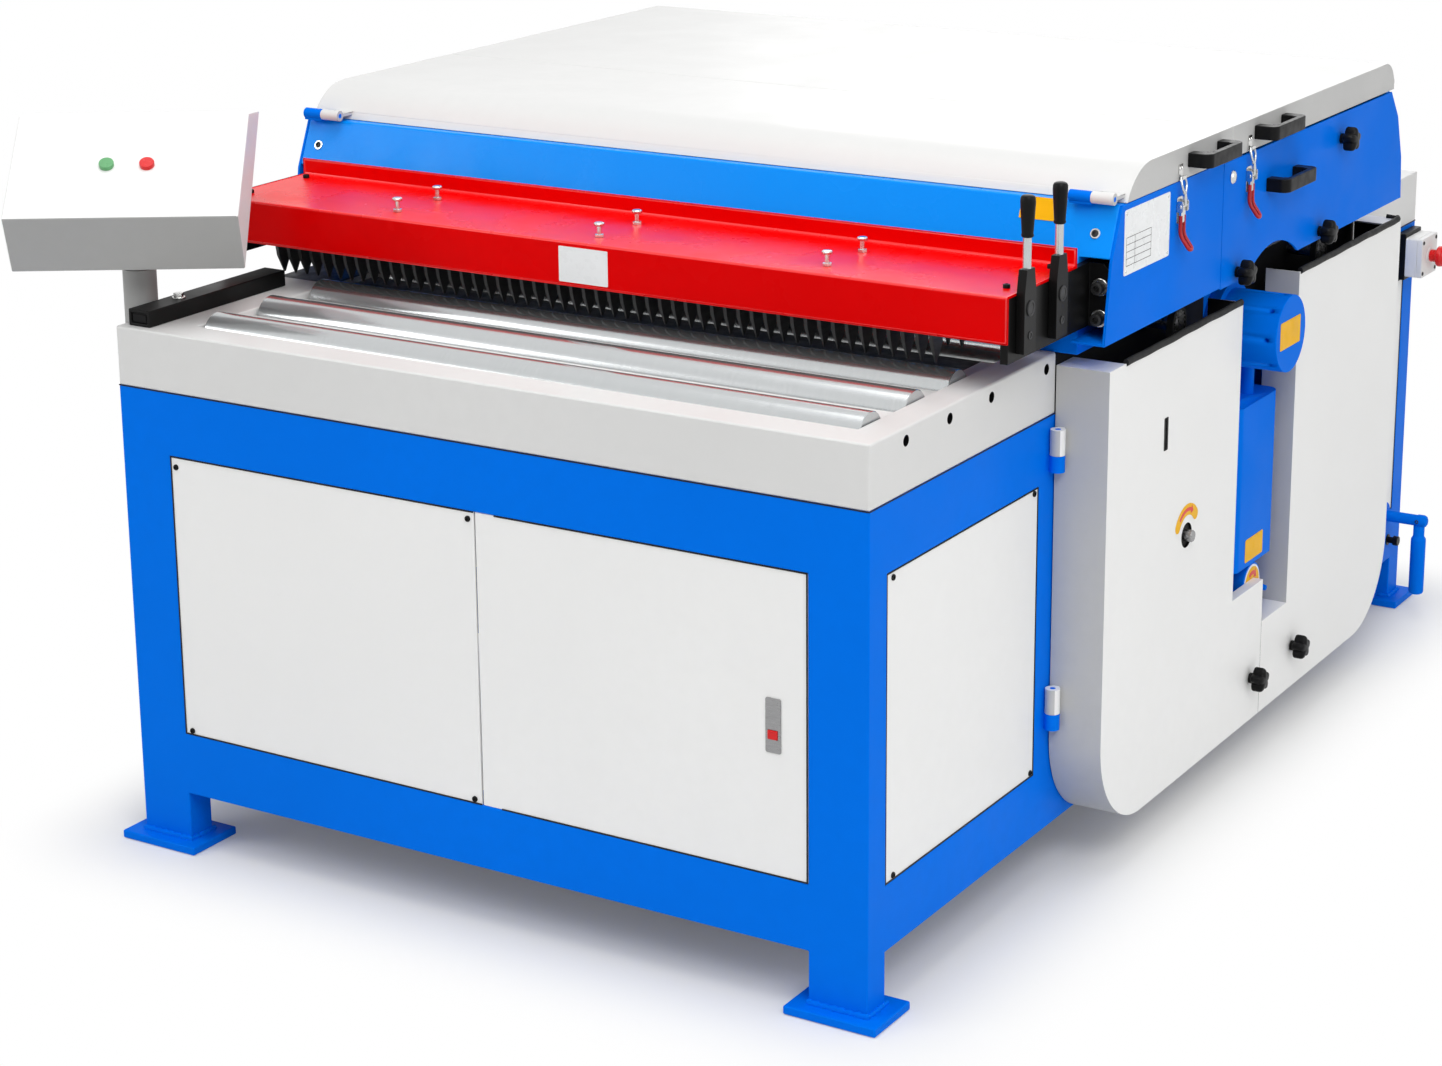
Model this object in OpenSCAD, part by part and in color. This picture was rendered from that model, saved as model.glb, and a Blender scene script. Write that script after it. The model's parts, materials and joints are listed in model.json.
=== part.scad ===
// Multi rip saw: a roller table on a welded frame, a saw arbor under a lidded hood,
// anti-kickback fingers under a red cover, a chain feed drive behind hinged guards,
// a swivelling console and an emergency stop.
// X runs across the table, Y along the feed and Z up. The origin lies on the floor,
// under the middle of the whole machine.

/* [Frame] */
// Width of the base frame
frame_w = 1500; // [1400:10:1700]
// Height of the table top above the floor
table_h = 957; // [930:1:1000]
// Width of a leg across the front
leg_w = 108; // [90:1:130]
// Depth of a leg along the feed
leg_d = 58; // [45:1:66]
// Thickness of the side rails
rail_t = 58; // [45:1:58]
// Height of every rail
rail_h = 115; // [90:1:125]
// Height of the lower rails above the floor
low_rail_z = 104; // [80:1:120]
// Thickness of the foot plates
foot_t = 15; // [8:1:25]
// Overhang of the foot plates round the legs
foot_lip = 30; // [15:1:45]
// Width of the side posts
side_post_w = 108; // [90:1:120]
// Thickness of the sheet panels
panel_t = 4; // [2:0.5:6]
// Left edge of the cabinet door
cabinet_x = 761; // [650:1:850]

/* [Table] */
// Height of the white table beams
table_box_h = 106; // [100:1:120]
// Width of the front and rear table beams
rim_end = 70; // [50:1:72]
// Width of the left table beam
rim_left = 129; // [110:1:140]
// Width of the right table beam
rim_right = 59; // [45:1:75]
// Depth of the bed strips below the table top
bed_drop = 12; // [6:1:20]
// Thickness of the bed strips
bed_t = 6; // [4:1:10]
// Length of the guide fence
fence_len = 370; // [250:5:380]
// Width of the guide fence
fence_w = 48; // [35:1:55]
// Height of the guide fence
fence_h = 30; // [20:1:40]

/* [Rollers] */
// Diameter of the table rollers
roller_d = 76; // [60:1:80]
// Rise of the rollers above the table top
roller_rise = 16; // [8:1:20]
// Diameter of the roller axles
axle_d = 18; // [12:1:22]
// Distance of the first roller behind the front face
infeed_first = 115; // [113:1:125]
// Spacing of the first three rollers
infeed_spacing = 145; // [130:1:150]
// Distance of the out-feed roller from the rear face
outfeed_back = 190; // [130:1:250]
// Distance of the feed rollers from the arbor
feed_span = 340; // [300:1:360]
// Diameter of the feed roller shafts
feed_shaft_d = 30; // [24:1:36]
// Diameter of the pressure rollers
pressure_d = 90; // [70:1:100]
// Gap between feed roller and pressure roller
pressure_gap = 20; // [10:1:30]

/* [Arbor] */
// Distance of the arbor behind the front end of the hood
arbor_in = 735; // [720:1:745]
// Depth of the arbor axis below the table top
arbor_drop = 106; // [100:1:112]
// Diameter of the arbor
arbor_d = 50; // [40:1:60]
// Diameter of the saw blades
blade_d = 320; // [290:1:330]
// Thickness of the saw blades
blade_t = 3.4; // [2.5:0.1:5]
// Number of saw blades
blade_count = 6; // [2:1:6]
// Spacing of the saw blades
blade_spacing = 180; // [80:5:190]
// Teeth of a saw blade
blade_teeth = 30; // [18:1:36]
// Open strip of the table round the blades
blade_gap = 280; // [270:1:300]
// Diameter of the outboard bearing cap
cap_d = 145; // [125:1:150]

/* [Hood] */
// Reach of the hood sides beyond the frame
hood_reach = 100; // [95:1:115]
// Distance of the hood behind the front face
hood_front = 615; // [612:1:625]
// Length of the hood behind the arbor
hood_rear_len = 681; // [665:1:690]
// Length of the table behind the hood
outfeed_len = 390; // [360:1:500]
// Height of the hood sides above the table top
hood_h = 253; // [240:1:280]
// Height of the lids above the hood sides
lid_h = 58; // [52:1:75]
// Distance of the lid seam ahead of the arbor
lid_seam_ahead = 215; // [205:1:230]
// Distance of the side door's front edge ahead of the arbor
door_ahead = 248; // [240:1:258]
// Radius of the arch in the side door
arch_r = 207; // [190:1:215]
// Thickness of the folded sheet
sheet_t = 3; // [2:0.5:4]
// Thickness of the hood side plates
plate_t = 5; // [4:0.5:8]

/* [Anti-kickback guard] */
// Distance of the red cover's front ahead of the hood
cover_ahead = 267; // [260:1:271]
// Depth of the red cover
cover_d = 252; // [240:1:256]
// Height of the red cover above the table top
cover_h = 161; // [155:1:170]
// Height of the red cover's front face
cover_front_h = 78; // [60:1:85]
// Reach of the red cover beyond the frame
cover_reach = 54; // [50:1:58]
// Spacing of the fingers
finger_spacing = 26; // [24:1:40]
// Thickness of a finger
finger_t = 7; // [5:0.5:9]
// Length of a finger from shaft to tip
finger_reach = 138; // [120:1:140]
// Lean of the hanging fingers
finger_lean = 17; // [12:1:18]
// Diameter of the finger shafts
finger_shaft_d = 24; // [18:1:28]
// Distance between the two finger shafts
finger_rows_gap = 117; // [112:1:122]
// Height of a hand lever above its shaft
lever_h = 182; // [150:1:200]

/* [Drive guards] */
// Depth of the drive guards
guard_depth = 98; // [90:1:99]
// Distance of the left guard's front wall behind the hood's front end
guard_in = 25; // [17:1:35]
// Gap between the upper halves of the guards
guard_gap = 275; // [250:1:285]
// Distance of the right guard's rear wall behind the hood's rear end
guard_out = 10; // [0:1:20]
// Height of the guards' upper edge below the table top
guard_drop = 22; // [18:1:40]
// Height of the guards' lower edge above the floor
guard_z = 95; // [70:1:110]
// Corner radius of the guards
guard_r = 175; // [120:1:190]

/* [Feed drive] */
// Distance of the gear shaft ahead of the front feed roller
gear_ahead = 25; // [10:1:50]
// Height of the gear shaft above the lower rails
gear_rise = 24; // [20:1:26]
// Distance of the jack shaft behind the rear feed roller
jack_behind = 70; // [30:1:110]
// Tip radius of the sprockets
sprocket_r = 24; // [22:1:26]
// Teeth of the sprockets
sprocket_teeth = 16; // [12:1:20]

/* [Console and controls] */
// Length of the console
console_w = 404; // [360:2:460]
// Swivel of the console at rest
console_swivel = 33; // [25:1:38]
// Height of the console's lower edge above the table top
console_rise = 97; // [85:1:110]
// Diameter of the console post
console_post_d = 60; // [50:1:70]
// Diameter of the emergency-stop mushroom
mushroom_d = 44; // [36:1:50]
// Length of the crank handle
crank_len = 165; // [120:1:180]

/* [Hidden] */
$fn = 48;
// Overrun of every cut
over = 1;
// Running clearance of a shaft in its bore
run_clear = 0.05;
// Gap between pieces that move past each other
part_gap = 0.5;
// Gap of a moving piece above its seat
rest_gap = 0.3;

// Places along the feed
arbor_y = hood_front + arbor_in;
hood_back = arbor_y + hood_rear_len;
frame_d = hood_back + outfeed_len;
cover_y = hood_front - cover_ahead;
lid_seam_y = arbor_y - lid_seam_ahead;
door_y = arbor_y - door_ahead;
guard_y = hood_front + guard_in;
guard_end = hood_back + guard_out;
side_post_ahead = 28;
side_post_y = hood_front - side_post_ahead;

// Heights
table_z = table_h - table_box_h;
up_rail_z = table_z - rail_h;
low_rail_top = low_rail_z + rail_h;
bed_z = table_h - bed_drop;
roller_z = table_h + roller_rise - roller_d / 2;
arbor_z = table_h - arbor_drop;
hood_z = table_h + hood_h;
lid_z = hood_z + lid_h;
cover_z = table_h + cover_h;
guard_top = table_h - guard_drop;
gear_z = low_rail_top + gear_rise;

// Sides
hood_x0 = -hood_reach;
hood_x1 = frame_w + hood_reach;
cover_x0 = -cover_reach;
cover_x1 = frame_w + cover_reach;
guard_x0 = frame_w + (hood_reach - guard_depth);
guard_x1 = hood_x1;

// Side posts and panels
panel_inset = 2;
rear_post_shift = 12;
rear_post_y = guard_end - side_post_w / 2 + rear_post_shift;

// Roller places
infeed_last_ahead = 8;
infeed_y = [
    infeed_first,
    infeed_first + infeed_spacing,
    infeed_first + 2 * infeed_spacing,
    hood_front - infeed_last_ahead
];
feed_y = [arbor_y - feed_span, arbor_y + feed_span];
gear_y = feed_y[0] - gear_ahead;
jack_y = feed_y[1] + jack_behind;
outfeed_y = frame_d - outfeed_back;
roller_gap = 4;
roller_end_gap = 2;
axle_recess = 8;
pressure_z = roller_z + roller_d / 2 + pressure_gap + pressure_d / 2;
pressure_end_gap = 10;

// Arbor, housings and outboard bearing
housing_w = 160;
housing_x = 10;
arbor_x0 = 30;
arbor_reach = 60;
arbor_x1 = frame_w + arbor_reach;
collar_d = 90;
collar_w = 14;
blade_tooth_h = 9;
blade_crown_share = 0.12;
blade_root_share = 0.72;
cap_flange_d = 172;
cap_flange_t = 24;
cap_reach = 140;
spanner_hole_d = 10;
spanner_hole_in = 14;
spanner_holes = 8;
arm_w = 194;
arm_reach = 85;
arm_r = 24;
arm_rise = 181;
arm_bottom = low_rail_top + arm_rise;
arm_top_gap = 18;
arm_top = up_rail_z - arm_top_gap;
arm_bolt_d = 28;
arm_bolt_gap = 70;
arm_drum_d = 84;
arm_drum_reach = 79;
arm_drum_drop = 46;
arm_drum_behind = 6;
drive_t = 8;
jack_boss_d = 70;
jack_boss_l = 30;
jack_shaft_in = 40;

// Belt drive
pulley_in = 21;
pulley_x = rim_left + pulley_in;
pulley_w = 65;
arbor_pulley_d = 130;
motor_pulley_d = 180;
belt_count = 3;
belt_w = 11.6;
belt_in = 3;
belt_out = 4;
groove_w = 14;
groove_depth = 11;
groove_floor_share = 0.55;

// Main motor
motor_d = 330;
motor_x0 = 330;
motor_len = 560;
motor_shaft_h = 200;
motor_z = low_rail_top + motor_shaft_h;
motor_behind = 360;
motor_y = arbor_y + motor_behind;
motor_shaft_d = 55;
motor_bell_d = 290;
motor_bell_t = 40;
motor_fins = 24;
motor_fin_h = 14;
motor_fin_t = 5;
motor_foot_w = 70;
motor_foot_span = 280;
motor_foot_len = 420;
terminal_size = [170, 130, 80];
bearer_w = 80;

// Feed gearmotor
gearbox_len = 150;
gearbox_w = 170;
gearbox_h = 180;
gearmotor_d = 150;
gearmotor_len = 240;
gear_shaft_in = 60;
sprocket_t = 12;
chain_planes = [28, 52];
chain_x = [frame_w + chain_planes[0], frame_w + chain_planes[1]];
chain_t = 6;
chain_gap = 0.5;
tooth_h = 4;
tooth_crown_share = 0.3;
tooth_root_share = 0.55;
sprocket_shaft_reach = 66;
sprocket_shaft_x = frame_w + sprocket_shaft_reach;

// Tension adjuster
adjuster_d = 22;
adjuster_drop = 400;
adjuster_z = table_h - adjuster_drop;
adjuster_collar_d = 40;
adjuster_collar_t = 20;
adjuster_cross_d = 8;
adjuster_cross_in = 12;
adjuster_hole_d = 46;

// Guards
guard_y1 = arbor_y - guard_gap / 2;
guard_y2 = arbor_y + guard_gap / 2;
guard_seam_in = 12;
guard_seam_y = arbor_y + guard_seam_in;
guard_step_l_rise = 146;
guard_step_l = low_rail_top + guard_step_l_rise;
guard_step_r_rise = 61;
guard_step_r = low_rail_top + guard_step_r_rise;
guard_step_lip = hood_reach - arm_drum_reach - 2 * part_gap;
guard_top_d = 65;
guard_inner_gap = 30;
guard_inner_x = guard_x0 + guard_inner_gap;
guard_slot_in = 236;
guard_slot_y = guard_y + guard_slot_in;
guard_slot_drop = 215;
guard_slot_z = table_h - guard_slot_drop;
guard_slot_h = 56;
guard_slot_w = 7;
hinge_d = 26;
hinge_pin_d = 10;
hinge_out = 14;
hinge_x = frame_w + hinge_out;
hinge_leaf_t = 12;
hinge_blue_h = 29;
hinge_white_h = 45;
hinge_low_rise = 75;
hinge_up_rise = 19;
hinge_z = [low_rail_top + hinge_low_rise, up_rail_z + hinge_up_rise];

// Star knobs
knob_d = 50;
knob_lobe_d = 17;
knob_lobes = 5;
knob_t = 20;
knob_hub_d = 24;
knob_hub_t = 14;
knob_stud_d = 10;
knob_stud_l = 12;
knob_stud_gap = 1;
guard_knob_in = 53;
guard_knob_rise = 88;
guard_knob_z = guard_z + guard_knob_rise;
guard_knob_gap = 157;
door_knob_in = [69, 472, 570];
door_knob_rise = [42, 40, 202];

// Hood outline
hood_side_rise = 26;
hood_side_z = table_h + hood_side_rise;
hood_knee_in = 21;
hood_knee_y = hood_front + hood_knee_in;
hood_knee_rise = 163;
hood_knee_z = table_h + hood_knee_rise;
hood_brow_in = 59;
hood_brow_y = hood_front + hood_brow_in;
hood_tail_in = 81;
hood_tail_y = hood_back - hood_tail_in;
hood_tail_mid_in = [38, 58];
hood_tail_low_in = [8, 145];
hood_tail_mid = [hood_back - hood_tail_mid_in[0], hood_z - hood_tail_mid_in[1]];
hood_tail_low = [hood_back - hood_tail_low_in[0], hood_z - hood_tail_low_in[1]];
beam_rise = 88;
beam_z = table_h + beam_rise;
beam_d = 145;
beam_back = hood_front + beam_d;
rear_beam_d = 101;
rear_beam_front = hood_back - rear_beam_d;
recess_gap = 7;
recess_z = cover_z + recess_gap;
hood_post_in = 25;
hood_post_d = 120;
door_rail_t = 24;
door_rail_h = 40;
door_rail_drop = 70;
door_rail_z = hood_z - door_rail_drop;
hanger_w = 40;
hanger_rise = 28;
hanger_z = table_h + hanger_rise;
door_gap = 2;
door_rise = 23;
door_z = table_h + door_rise;
door_top_gap = 3;
door_top = hood_z - door_top_gap;
arch_drop = 145;

// Lids and their hinges
lid_front_in = 76;
lid_front_y = hood_front + lid_front_in;
lid_front_r = 110;
lid_back_in = 71;
lid_back_y = hood_back - lid_back_in;
lid_back_r = 50;
lid_gap = 1;
lid_hinge_d = 20;
lid_pin_d = 9;
lid_knuckle_w = 40;
lid_knuckle_in = 8;
lid_leaf_t = 6;
lid_leaf_in = 9;
lid_axis_rise = 12;
lid_axis_z = hood_z + lid_axis_rise;
front_axis_in = 45;
front_axis_y = hood_front + front_axis_in;
rear_axis_in = 58;
rear_axis_y = hood_back - rear_axis_in;
rear_ear_w = 18;

// Bow handles
handle_len = 150;
handle_h = 25;
handle_t = 12;
handle_out = 43;
handle_r = 16;
front_handle_back = 165;
front_handle_y = door_y - front_handle_back;
rear_handle_in = 99;
rear_handle_y = lid_seam_y + rear_handle_in;
lid_handle_rise = 19;
lid_handle_z = hood_z + lid_handle_rise;
door_handle_in = 198;
door_handle_y = door_y + door_handle_in;
door_handle_drop = 88;
door_handle_z = hood_z - door_handle_drop;

// Toggle latches
latch_w = 22;
latch_t = 10;
latch_len = 76;
latch_ear_d = 14;
latch_grip_bend = 16;
latch_drop = 42;
latch_z = hood_z - latch_drop;
latch_front_back = 196;
latch_front_y = door_y - latch_front_back;
latch_rear_in = 111;
latch_rear_y = door_y + latch_rear_in;
latch_pin_x = hood_x1 + latch_ear_d / 2 + rest_gap;

// Anti-kickback guard
cover_flange_h = 30;
arm_t = 14;
kickback_arm_rise = 50;
arm_z = table_h + kickback_arm_rise;
arm_flange_in = 35;
arm_flange_t = 12;
arm_flange_cut = 16;
arm_flange_y = hood_front + arm_flange_in;
finger_row_in = 50;
finger_row_y = [cover_y + finger_row_in, cover_y + finger_row_in + finger_rows_gap];
finger_axis_drop = 26;
finger_axis_z = cover_z - finger_axis_drop;
finger_head_d = 38;
finger_neck_w = 33;
finger_waist = 15;
finger_tip_w = 5;
finger_margin = 40;
lever_t = 15;
lever_w = 42;
lever_low = 72;
lever_block_h = 64;
lever_rod_d = 12;
lever_grip_d = 25;
lever_grip_h = 68;

// Cabinet door
cabinet_gap = 1;
cabinet_rim = 18;
cabinet_rim_t = 2;
cabinet_swing = 2.5;
cabinet_pin_d = 6;
cabinet_pin_in = 4;
cabinet_pin_reach = 8;
lock_w = 29;
lock_in = 78;
lock_x = frame_w - leg_w - lock_in;
lock_rise = 208;
lock_z = low_rail_top + lock_rise;
lock_stand = 2;
lock_button_size = [18, 12, 15];
lock_button_z = 24;

// Console
console_post_x = -40;
console_ahead = 235;
console_post_y = cover_y - console_ahead;
console_post_low = 282;
console_post_top = 20;
console_lip = [-171, 106];
console_crown = [41, 247];
console_back = [187, 226];
console_keel = [-113, 0];
console_bracket_h = 40;
console_bracket_w = 50;
console_button_d = 26;
console_button_h = 8;
console_button_in = 14;
console_button_gap = 70;
console_slope = atan2(console_crown[1] - console_lip[1], console_crown[0] - console_lip[0]);
console_z = table_h + console_rise;

// Emergency stop
estop_size = [36, 95, 84];
estop_back = 111;
estop_y = frame_d - estop_back;
estop_rise = 14;
estop_z = up_rail_z + estop_rise;
estop_bracket_t = 20;
estop_bracket_lip = 8;
mushroom_reach = 38;
mushroom_neck_d = 26;
mushroom_stem_d = 16;
mushroom_stem_in = 14;
mushroom_travel = 5;

// Crank
crank_back = 131;
crank_y = frame_d - crank_back;
crank_rise = 5;
crank_z = low_rail_top + crank_rise;
crank_boss_d = 60;
crank_boss_t = 12;
crank_pin_d = 18;
crank_pin_in = 40;
crank_tube_d = 24;
crank_reach = 94;
crank_grip_d = 32;
crank_hub_in = 18;

// Middle of the whole machine on the floor
console_far = console_w / 2;
console_x_low = console_post_x - console_far * cos(console_swivel) - console_back[0] * sin(console_swivel);
console_y_low = console_post_y - console_far * sin(console_swivel) + console_lip[0] * cos(console_swivel);
x_mid = (console_x_low + hood_x1 + handle_out) / 2;
y_mid = (console_y_low + frame_d + foot_lip) / 2;

// Shared shapes

// Moves the machine so that the origin lies under its middle
module place() translate([-x_mid, -y_mid, 0]) children();

// Block between two corners
module block(low, high) translate(low) cube(high - low);

// Round bar along X
module rod_x(d, x0, x1, y, z) translate([x0, y, z]) rotate([0, 90, 0]) cylinder(d = d, h = x1 - x0);

// Round bar along Y
module rod_y(d, x, y0, y1, z) translate([x, y0, z]) rotate([-90, 0, 0]) cylinder(d = d, h = y1 - y0);

// Round bar along Z
module rod_z(d, x, y, z0, z1) translate([x, y, z0]) cylinder(d = d, h = z1 - z0);

// Outline drawn in Y and Z, given a thickness along X
module slab_x(x0, x1) translate([x0, 0, 0]) rotate([90, 0, 90]) linear_extrude(x1 - x0) children();

// Rectangle between two corners
module rect(low, high) translate(low) square(high - low);

// Outline of a belt or chain round two wheels, drawn in Y and Z
module loop_outline(a, ra, b, rb) {
    run = norm(b - a);
    dir = (b - a) / run;
    side = [-dir[1], dir[0]];
    lean = (ra - rb) / run;
    flat = sqrt(1 - lean * lean);
    up = lean * dir + flat * side;
    down = lean * dir - flat * side;
    translate(a) circle(r = ra);
    translate(b) circle(r = rb);
    polygon([a + ra * up, b + rb * up, b + rb * down, a + ra * down]);
}

// Closed band round two wheels
module band(x0, x1, a, ra, b, rb, inner, outer) difference() {
    slab_x(x0, x1) loop_outline(a, ra + outer, b, rb + outer);
    slab_x(x0 - over, x1 + over) loop_outline(a, ra + inner, b, rb + inner);
}

// Toothed outline round the origin
module toothed_outline(r, h, teeth, crown_share, root_share) polygon([
    for (i = [0 : teeth - 1], p = [[0, 0], [crown_share, 0], [root_share, 1], [1 - over / r, 1]])
        (r - h * p[1]) * [cos((i + p[0]) * 360 / teeth), sin((i + p[0]) * 360 / teeth)]
]);

// Frame

module frame_legs() color("royalblue") {
    for (x = [0, frame_w - leg_w], y = [0, frame_d - leg_d])
        block([x, y, foot_t], [x + leg_w, y + leg_d, table_z]);
    for (x = [0, frame_w - rail_t], y = [side_post_y, rear_post_y])
        block([x, y, low_rail_top], [x + rail_t, y + side_post_w, up_rail_z]);
    for (side = [-1, 1])
        translate([0, motor_y + side * motor_foot_span / 2, 0])
            block([rail_t, -bearer_w / 2, low_rail_z], [frame_w - rail_t, bearer_w / 2, low_rail_top]);
}

module frame_rails() color("royalblue") difference() {
    union() {
        for (y = [0, frame_d - leg_d], z = [low_rail_z, up_rail_z])
            block([leg_w, y, z], [frame_w - leg_w, y + leg_d, z + rail_h]);
        for (x = [0, frame_w - rail_t]) {
            block([x, leg_d, low_rail_z], [x + rail_t, frame_d - leg_d, low_rail_top]);
            block([x, leg_d, up_rail_z], [x + rail_t, arbor_y - housing_w / 2, table_z]);
            block([x, arbor_y + housing_w / 2, up_rail_z], [x + rail_t, frame_d - leg_d, table_z]);
        }
        for (x = [0, frame_w - leg_w], y = [0, frame_d - leg_d])
            block([x - foot_lip, y - foot_lip, 0], [x + leg_w + foot_lip, y + leg_d + foot_lip, foot_t]);
        rod_x(crank_boss_d, frame_w, frame_w + crank_boss_t, crank_y, crank_z);
    }
    rod_x(crank_pin_d + 2 * run_clear, frame_w - crank_pin_in, frame_w + crank_boss_t + over, crank_y,
        crank_z);
    cabinet_pin(2 * run_clear);
}

// Table

slot_mid = concat(infeed_y, [feed_y[0], arbor_y, feed_y[1], outfeed_y]);
roller_slot = roller_d / 2 + roller_gap;
function slot_half(i) = slot_mid[i] == arbor_y ? blade_gap / 2 : roller_slot;

module bed_strip(y0, y1) block([rim_left, y0, bed_z - bed_t], [frame_w - rim_right, y1, bed_z]);

module table_bed() color("whitesmoke") {
    for (y = [0, frame_d - rim_end]) block([0, y, table_z], [frame_w, y + rim_end, table_h]);
    for (i = [0 : len(slot_mid) - 2])
        bed_strip(slot_mid[i] + slot_half(i), slot_mid[i + 1] - slot_half(i + 1));
    bed_strip(outfeed_y + roller_slot, frame_d - rim_end);
}

module table_sides() color("whitesmoke") difference() {
    union() {
        block([0, rim_end, table_z], [rim_left, frame_d - rim_end, table_h]);
        block([frame_w - rim_right, rim_end, table_z], [frame_w, frame_d - rim_end, table_h]);
    }
    for (y = concat(infeed_y, [outfeed_y]))
        rod_x(axle_d + 2 * run_clear, -over, frame_w + over, y, roller_z);
    for (y = feed_y) rod_x(feed_shaft_d + 2 * run_clear, -over, frame_w + over, y, roller_z);
    block([-over, arbor_y - housing_w / 2, table_z - over],
        [frame_w + over, arbor_y + housing_w / 2, arbor_z + housing_w / 2]);
}

module side_panels() color("white") difference() {
    panel_sheets();
    rod_x(crank_pin_d + 2 * part_gap, frame_w - crank_pin_in, frame_w, crank_y, crank_z);
}

module panel_sheets() {
    z0 = low_rail_top + part_gap;
    z1 = up_rail_z - part_gap;
    block([leg_w + part_gap, panel_inset, z0], [cabinet_x - cabinet_swing, panel_inset + panel_t, z1]);
    spans = [
        [leg_d, side_post_y],
        [side_post_y + side_post_w, rear_post_y],
        [rear_post_y + side_post_w, frame_d - leg_d]
    ];
    for (s = [0, 2])
        translate([frame_w - panel_inset - panel_t, 0, 0])
            block([0, spans[s][0] + part_gap, z0], [panel_t, spans[s][1] - part_gap, z1]);
    for (s = spans)
        block([panel_inset, s[0] + part_gap, z0], [panel_inset + panel_t, s[1] - part_gap, z1]);
    back = frame_d - panel_inset - panel_t;
    block([leg_w + part_gap, back, z0], [frame_w / 2 - part_gap, back + panel_t, z1]);
    block([frame_w / 2 + part_gap, back, z0], [frame_w - leg_w - part_gap, back + panel_t, z1]);
}

fence_x = 18;
fence_y = 15;
fence_wall = 6;
fence_hollow = 60;

module guide_fence() color("dimgray") difference() {
    block([fence_x, fence_y, table_h], [fence_x + fence_w, fence_y + fence_len, table_h + fence_h]);
    block([fence_x + fence_wall, fence_y - over, table_h + fence_wall],
        [fence_x + fence_w - fence_wall, fence_y + fence_hollow, table_h + fence_h - fence_wall]);
}

// Rollers

module idle_roller(y) color("silver") {
    rod_x(roller_d, rim_left + roller_end_gap, frame_w - rim_right - roller_end_gap, y, roller_z);
    rod_x(axle_d, axle_recess, frame_w - axle_recess, y, roller_z);
}

module infeed_roller_1() idle_roller(infeed_y[0]);
module infeed_roller_2() idle_roller(infeed_y[1]);
module infeed_roller_3() idle_roller(infeed_y[2]);
module infeed_roller_4() idle_roller(infeed_y[3]);
module outfeed_roller() idle_roller(outfeed_y);

module sprocket(plane, y, z) slab_x(chain_x[plane], chain_x[plane] + sprocket_t)
    translate([y, z])
        toothed_outline(sprocket_r, tooth_h, sprocket_teeth, tooth_crown_share, tooth_root_share);

module feed_roller(y) color("silver") {
    rod_x(roller_d, rim_left + roller_end_gap, frame_w - rim_right - roller_end_gap, y, roller_z);
    rod_x(feed_shaft_d, axle_recess, sprocket_shaft_x, y, roller_z);
    sprocket(1, y, roller_z);
}

module feed_roller_front() feed_roller(feed_y[0]);
module feed_roller_rear() feed_roller(feed_y[1]);

module pressure_roller(y) color("darkslategray") {
    rod_x(pressure_d, rim_left + pressure_end_gap, frame_w - rim_right - pressure_end_gap, y, pressure_z);
    rod_x(feed_shaft_d, rim_left - rim_right + axle_recess, frame_w - axle_recess, y, pressure_z);
}

module pressure_roller_front() pressure_roller(feed_y[0]);
module pressure_roller_rear() pressure_roller(feed_y[1]);

// Arbor and its drive

blade_mid = (pulley_x + pulley_w + frame_w - rim_right) / 2;
blade_x0 = blade_mid - blade_spacing * (blade_count - 1) / 2;
belt_pitch = pulley_w / belt_count;

// Pulley with V-grooves
module grooved_pulley(d, y, z) translate([pulley_x, y, z]) rotate([0, 90, 0])
    rotate_extrude() polygon(concat(
    [[0, 0], [d / 2, 0]],
    [for (i = [0 : belt_count - 1], p = [[-1, 0], [-groove_floor_share, 1], [groove_floor_share, 1],
        [1, 0]])
        [d / 2 - groove_depth * p[1], (i + 1 / 2) * belt_pitch + p[0] * groove_w / 2]],
    [[d / 2, pulley_w], [0, pulley_w]]
));

module arbor_shaft() color("gray") {
    rod_x(arbor_d, arbor_x0, arbor_x1, arbor_y, arbor_z);
    for (i = [0 : blade_count - 1], side = [0, 1])
        translate([blade_x0 + i * blade_spacing - side * (collar_w + blade_t), 0, 0])
            rod_x(collar_d, blade_t, blade_t + collar_w, arbor_y, arbor_z);
    grooved_pulley(arbor_pulley_d, arbor_y, arbor_z);
}

module saw_blades() color("lightgray") for (i = [0 : blade_count - 1])
    translate([blade_x0 + i * blade_spacing, 0, 0]) slab_x(0, blade_t)
        translate([arbor_y, arbor_z]) difference() {
        toothed_outline(blade_d / 2, blade_tooth_h, blade_teeth, blade_crown_share, blade_root_share);
        circle(d = arbor_d + 2 * run_clear);
    }

module bearing_blocks() color("royalblue") difference() {
    union() {
        for (x = [[housing_x, rim_left - housing_x], [frame_w - rim_right, frame_w]])
            block([x[0], arbor_y - housing_w / 2, up_rail_z],
                [x[1], arbor_y + housing_w / 2, arbor_z + housing_w / 2]);
        for (x = [rim_left - rim_right, frame_w - rim_right], y = feed_y)
            block([x, y - pressure_d / 2, table_h],
                [x + rim_right, y + pressure_d / 2, pressure_z + pressure_d / 2]);
    }
    rod_x(arbor_d + 2 * run_clear, arbor_x0 - over, frame_w + over, arbor_y, arbor_z);
    for (y = feed_y)
        rod_x(feed_shaft_d + 2 * run_clear, rim_left - rim_right + axle_recess - over,
            frame_w - axle_recess + over, y, pressure_z);
}

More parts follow.
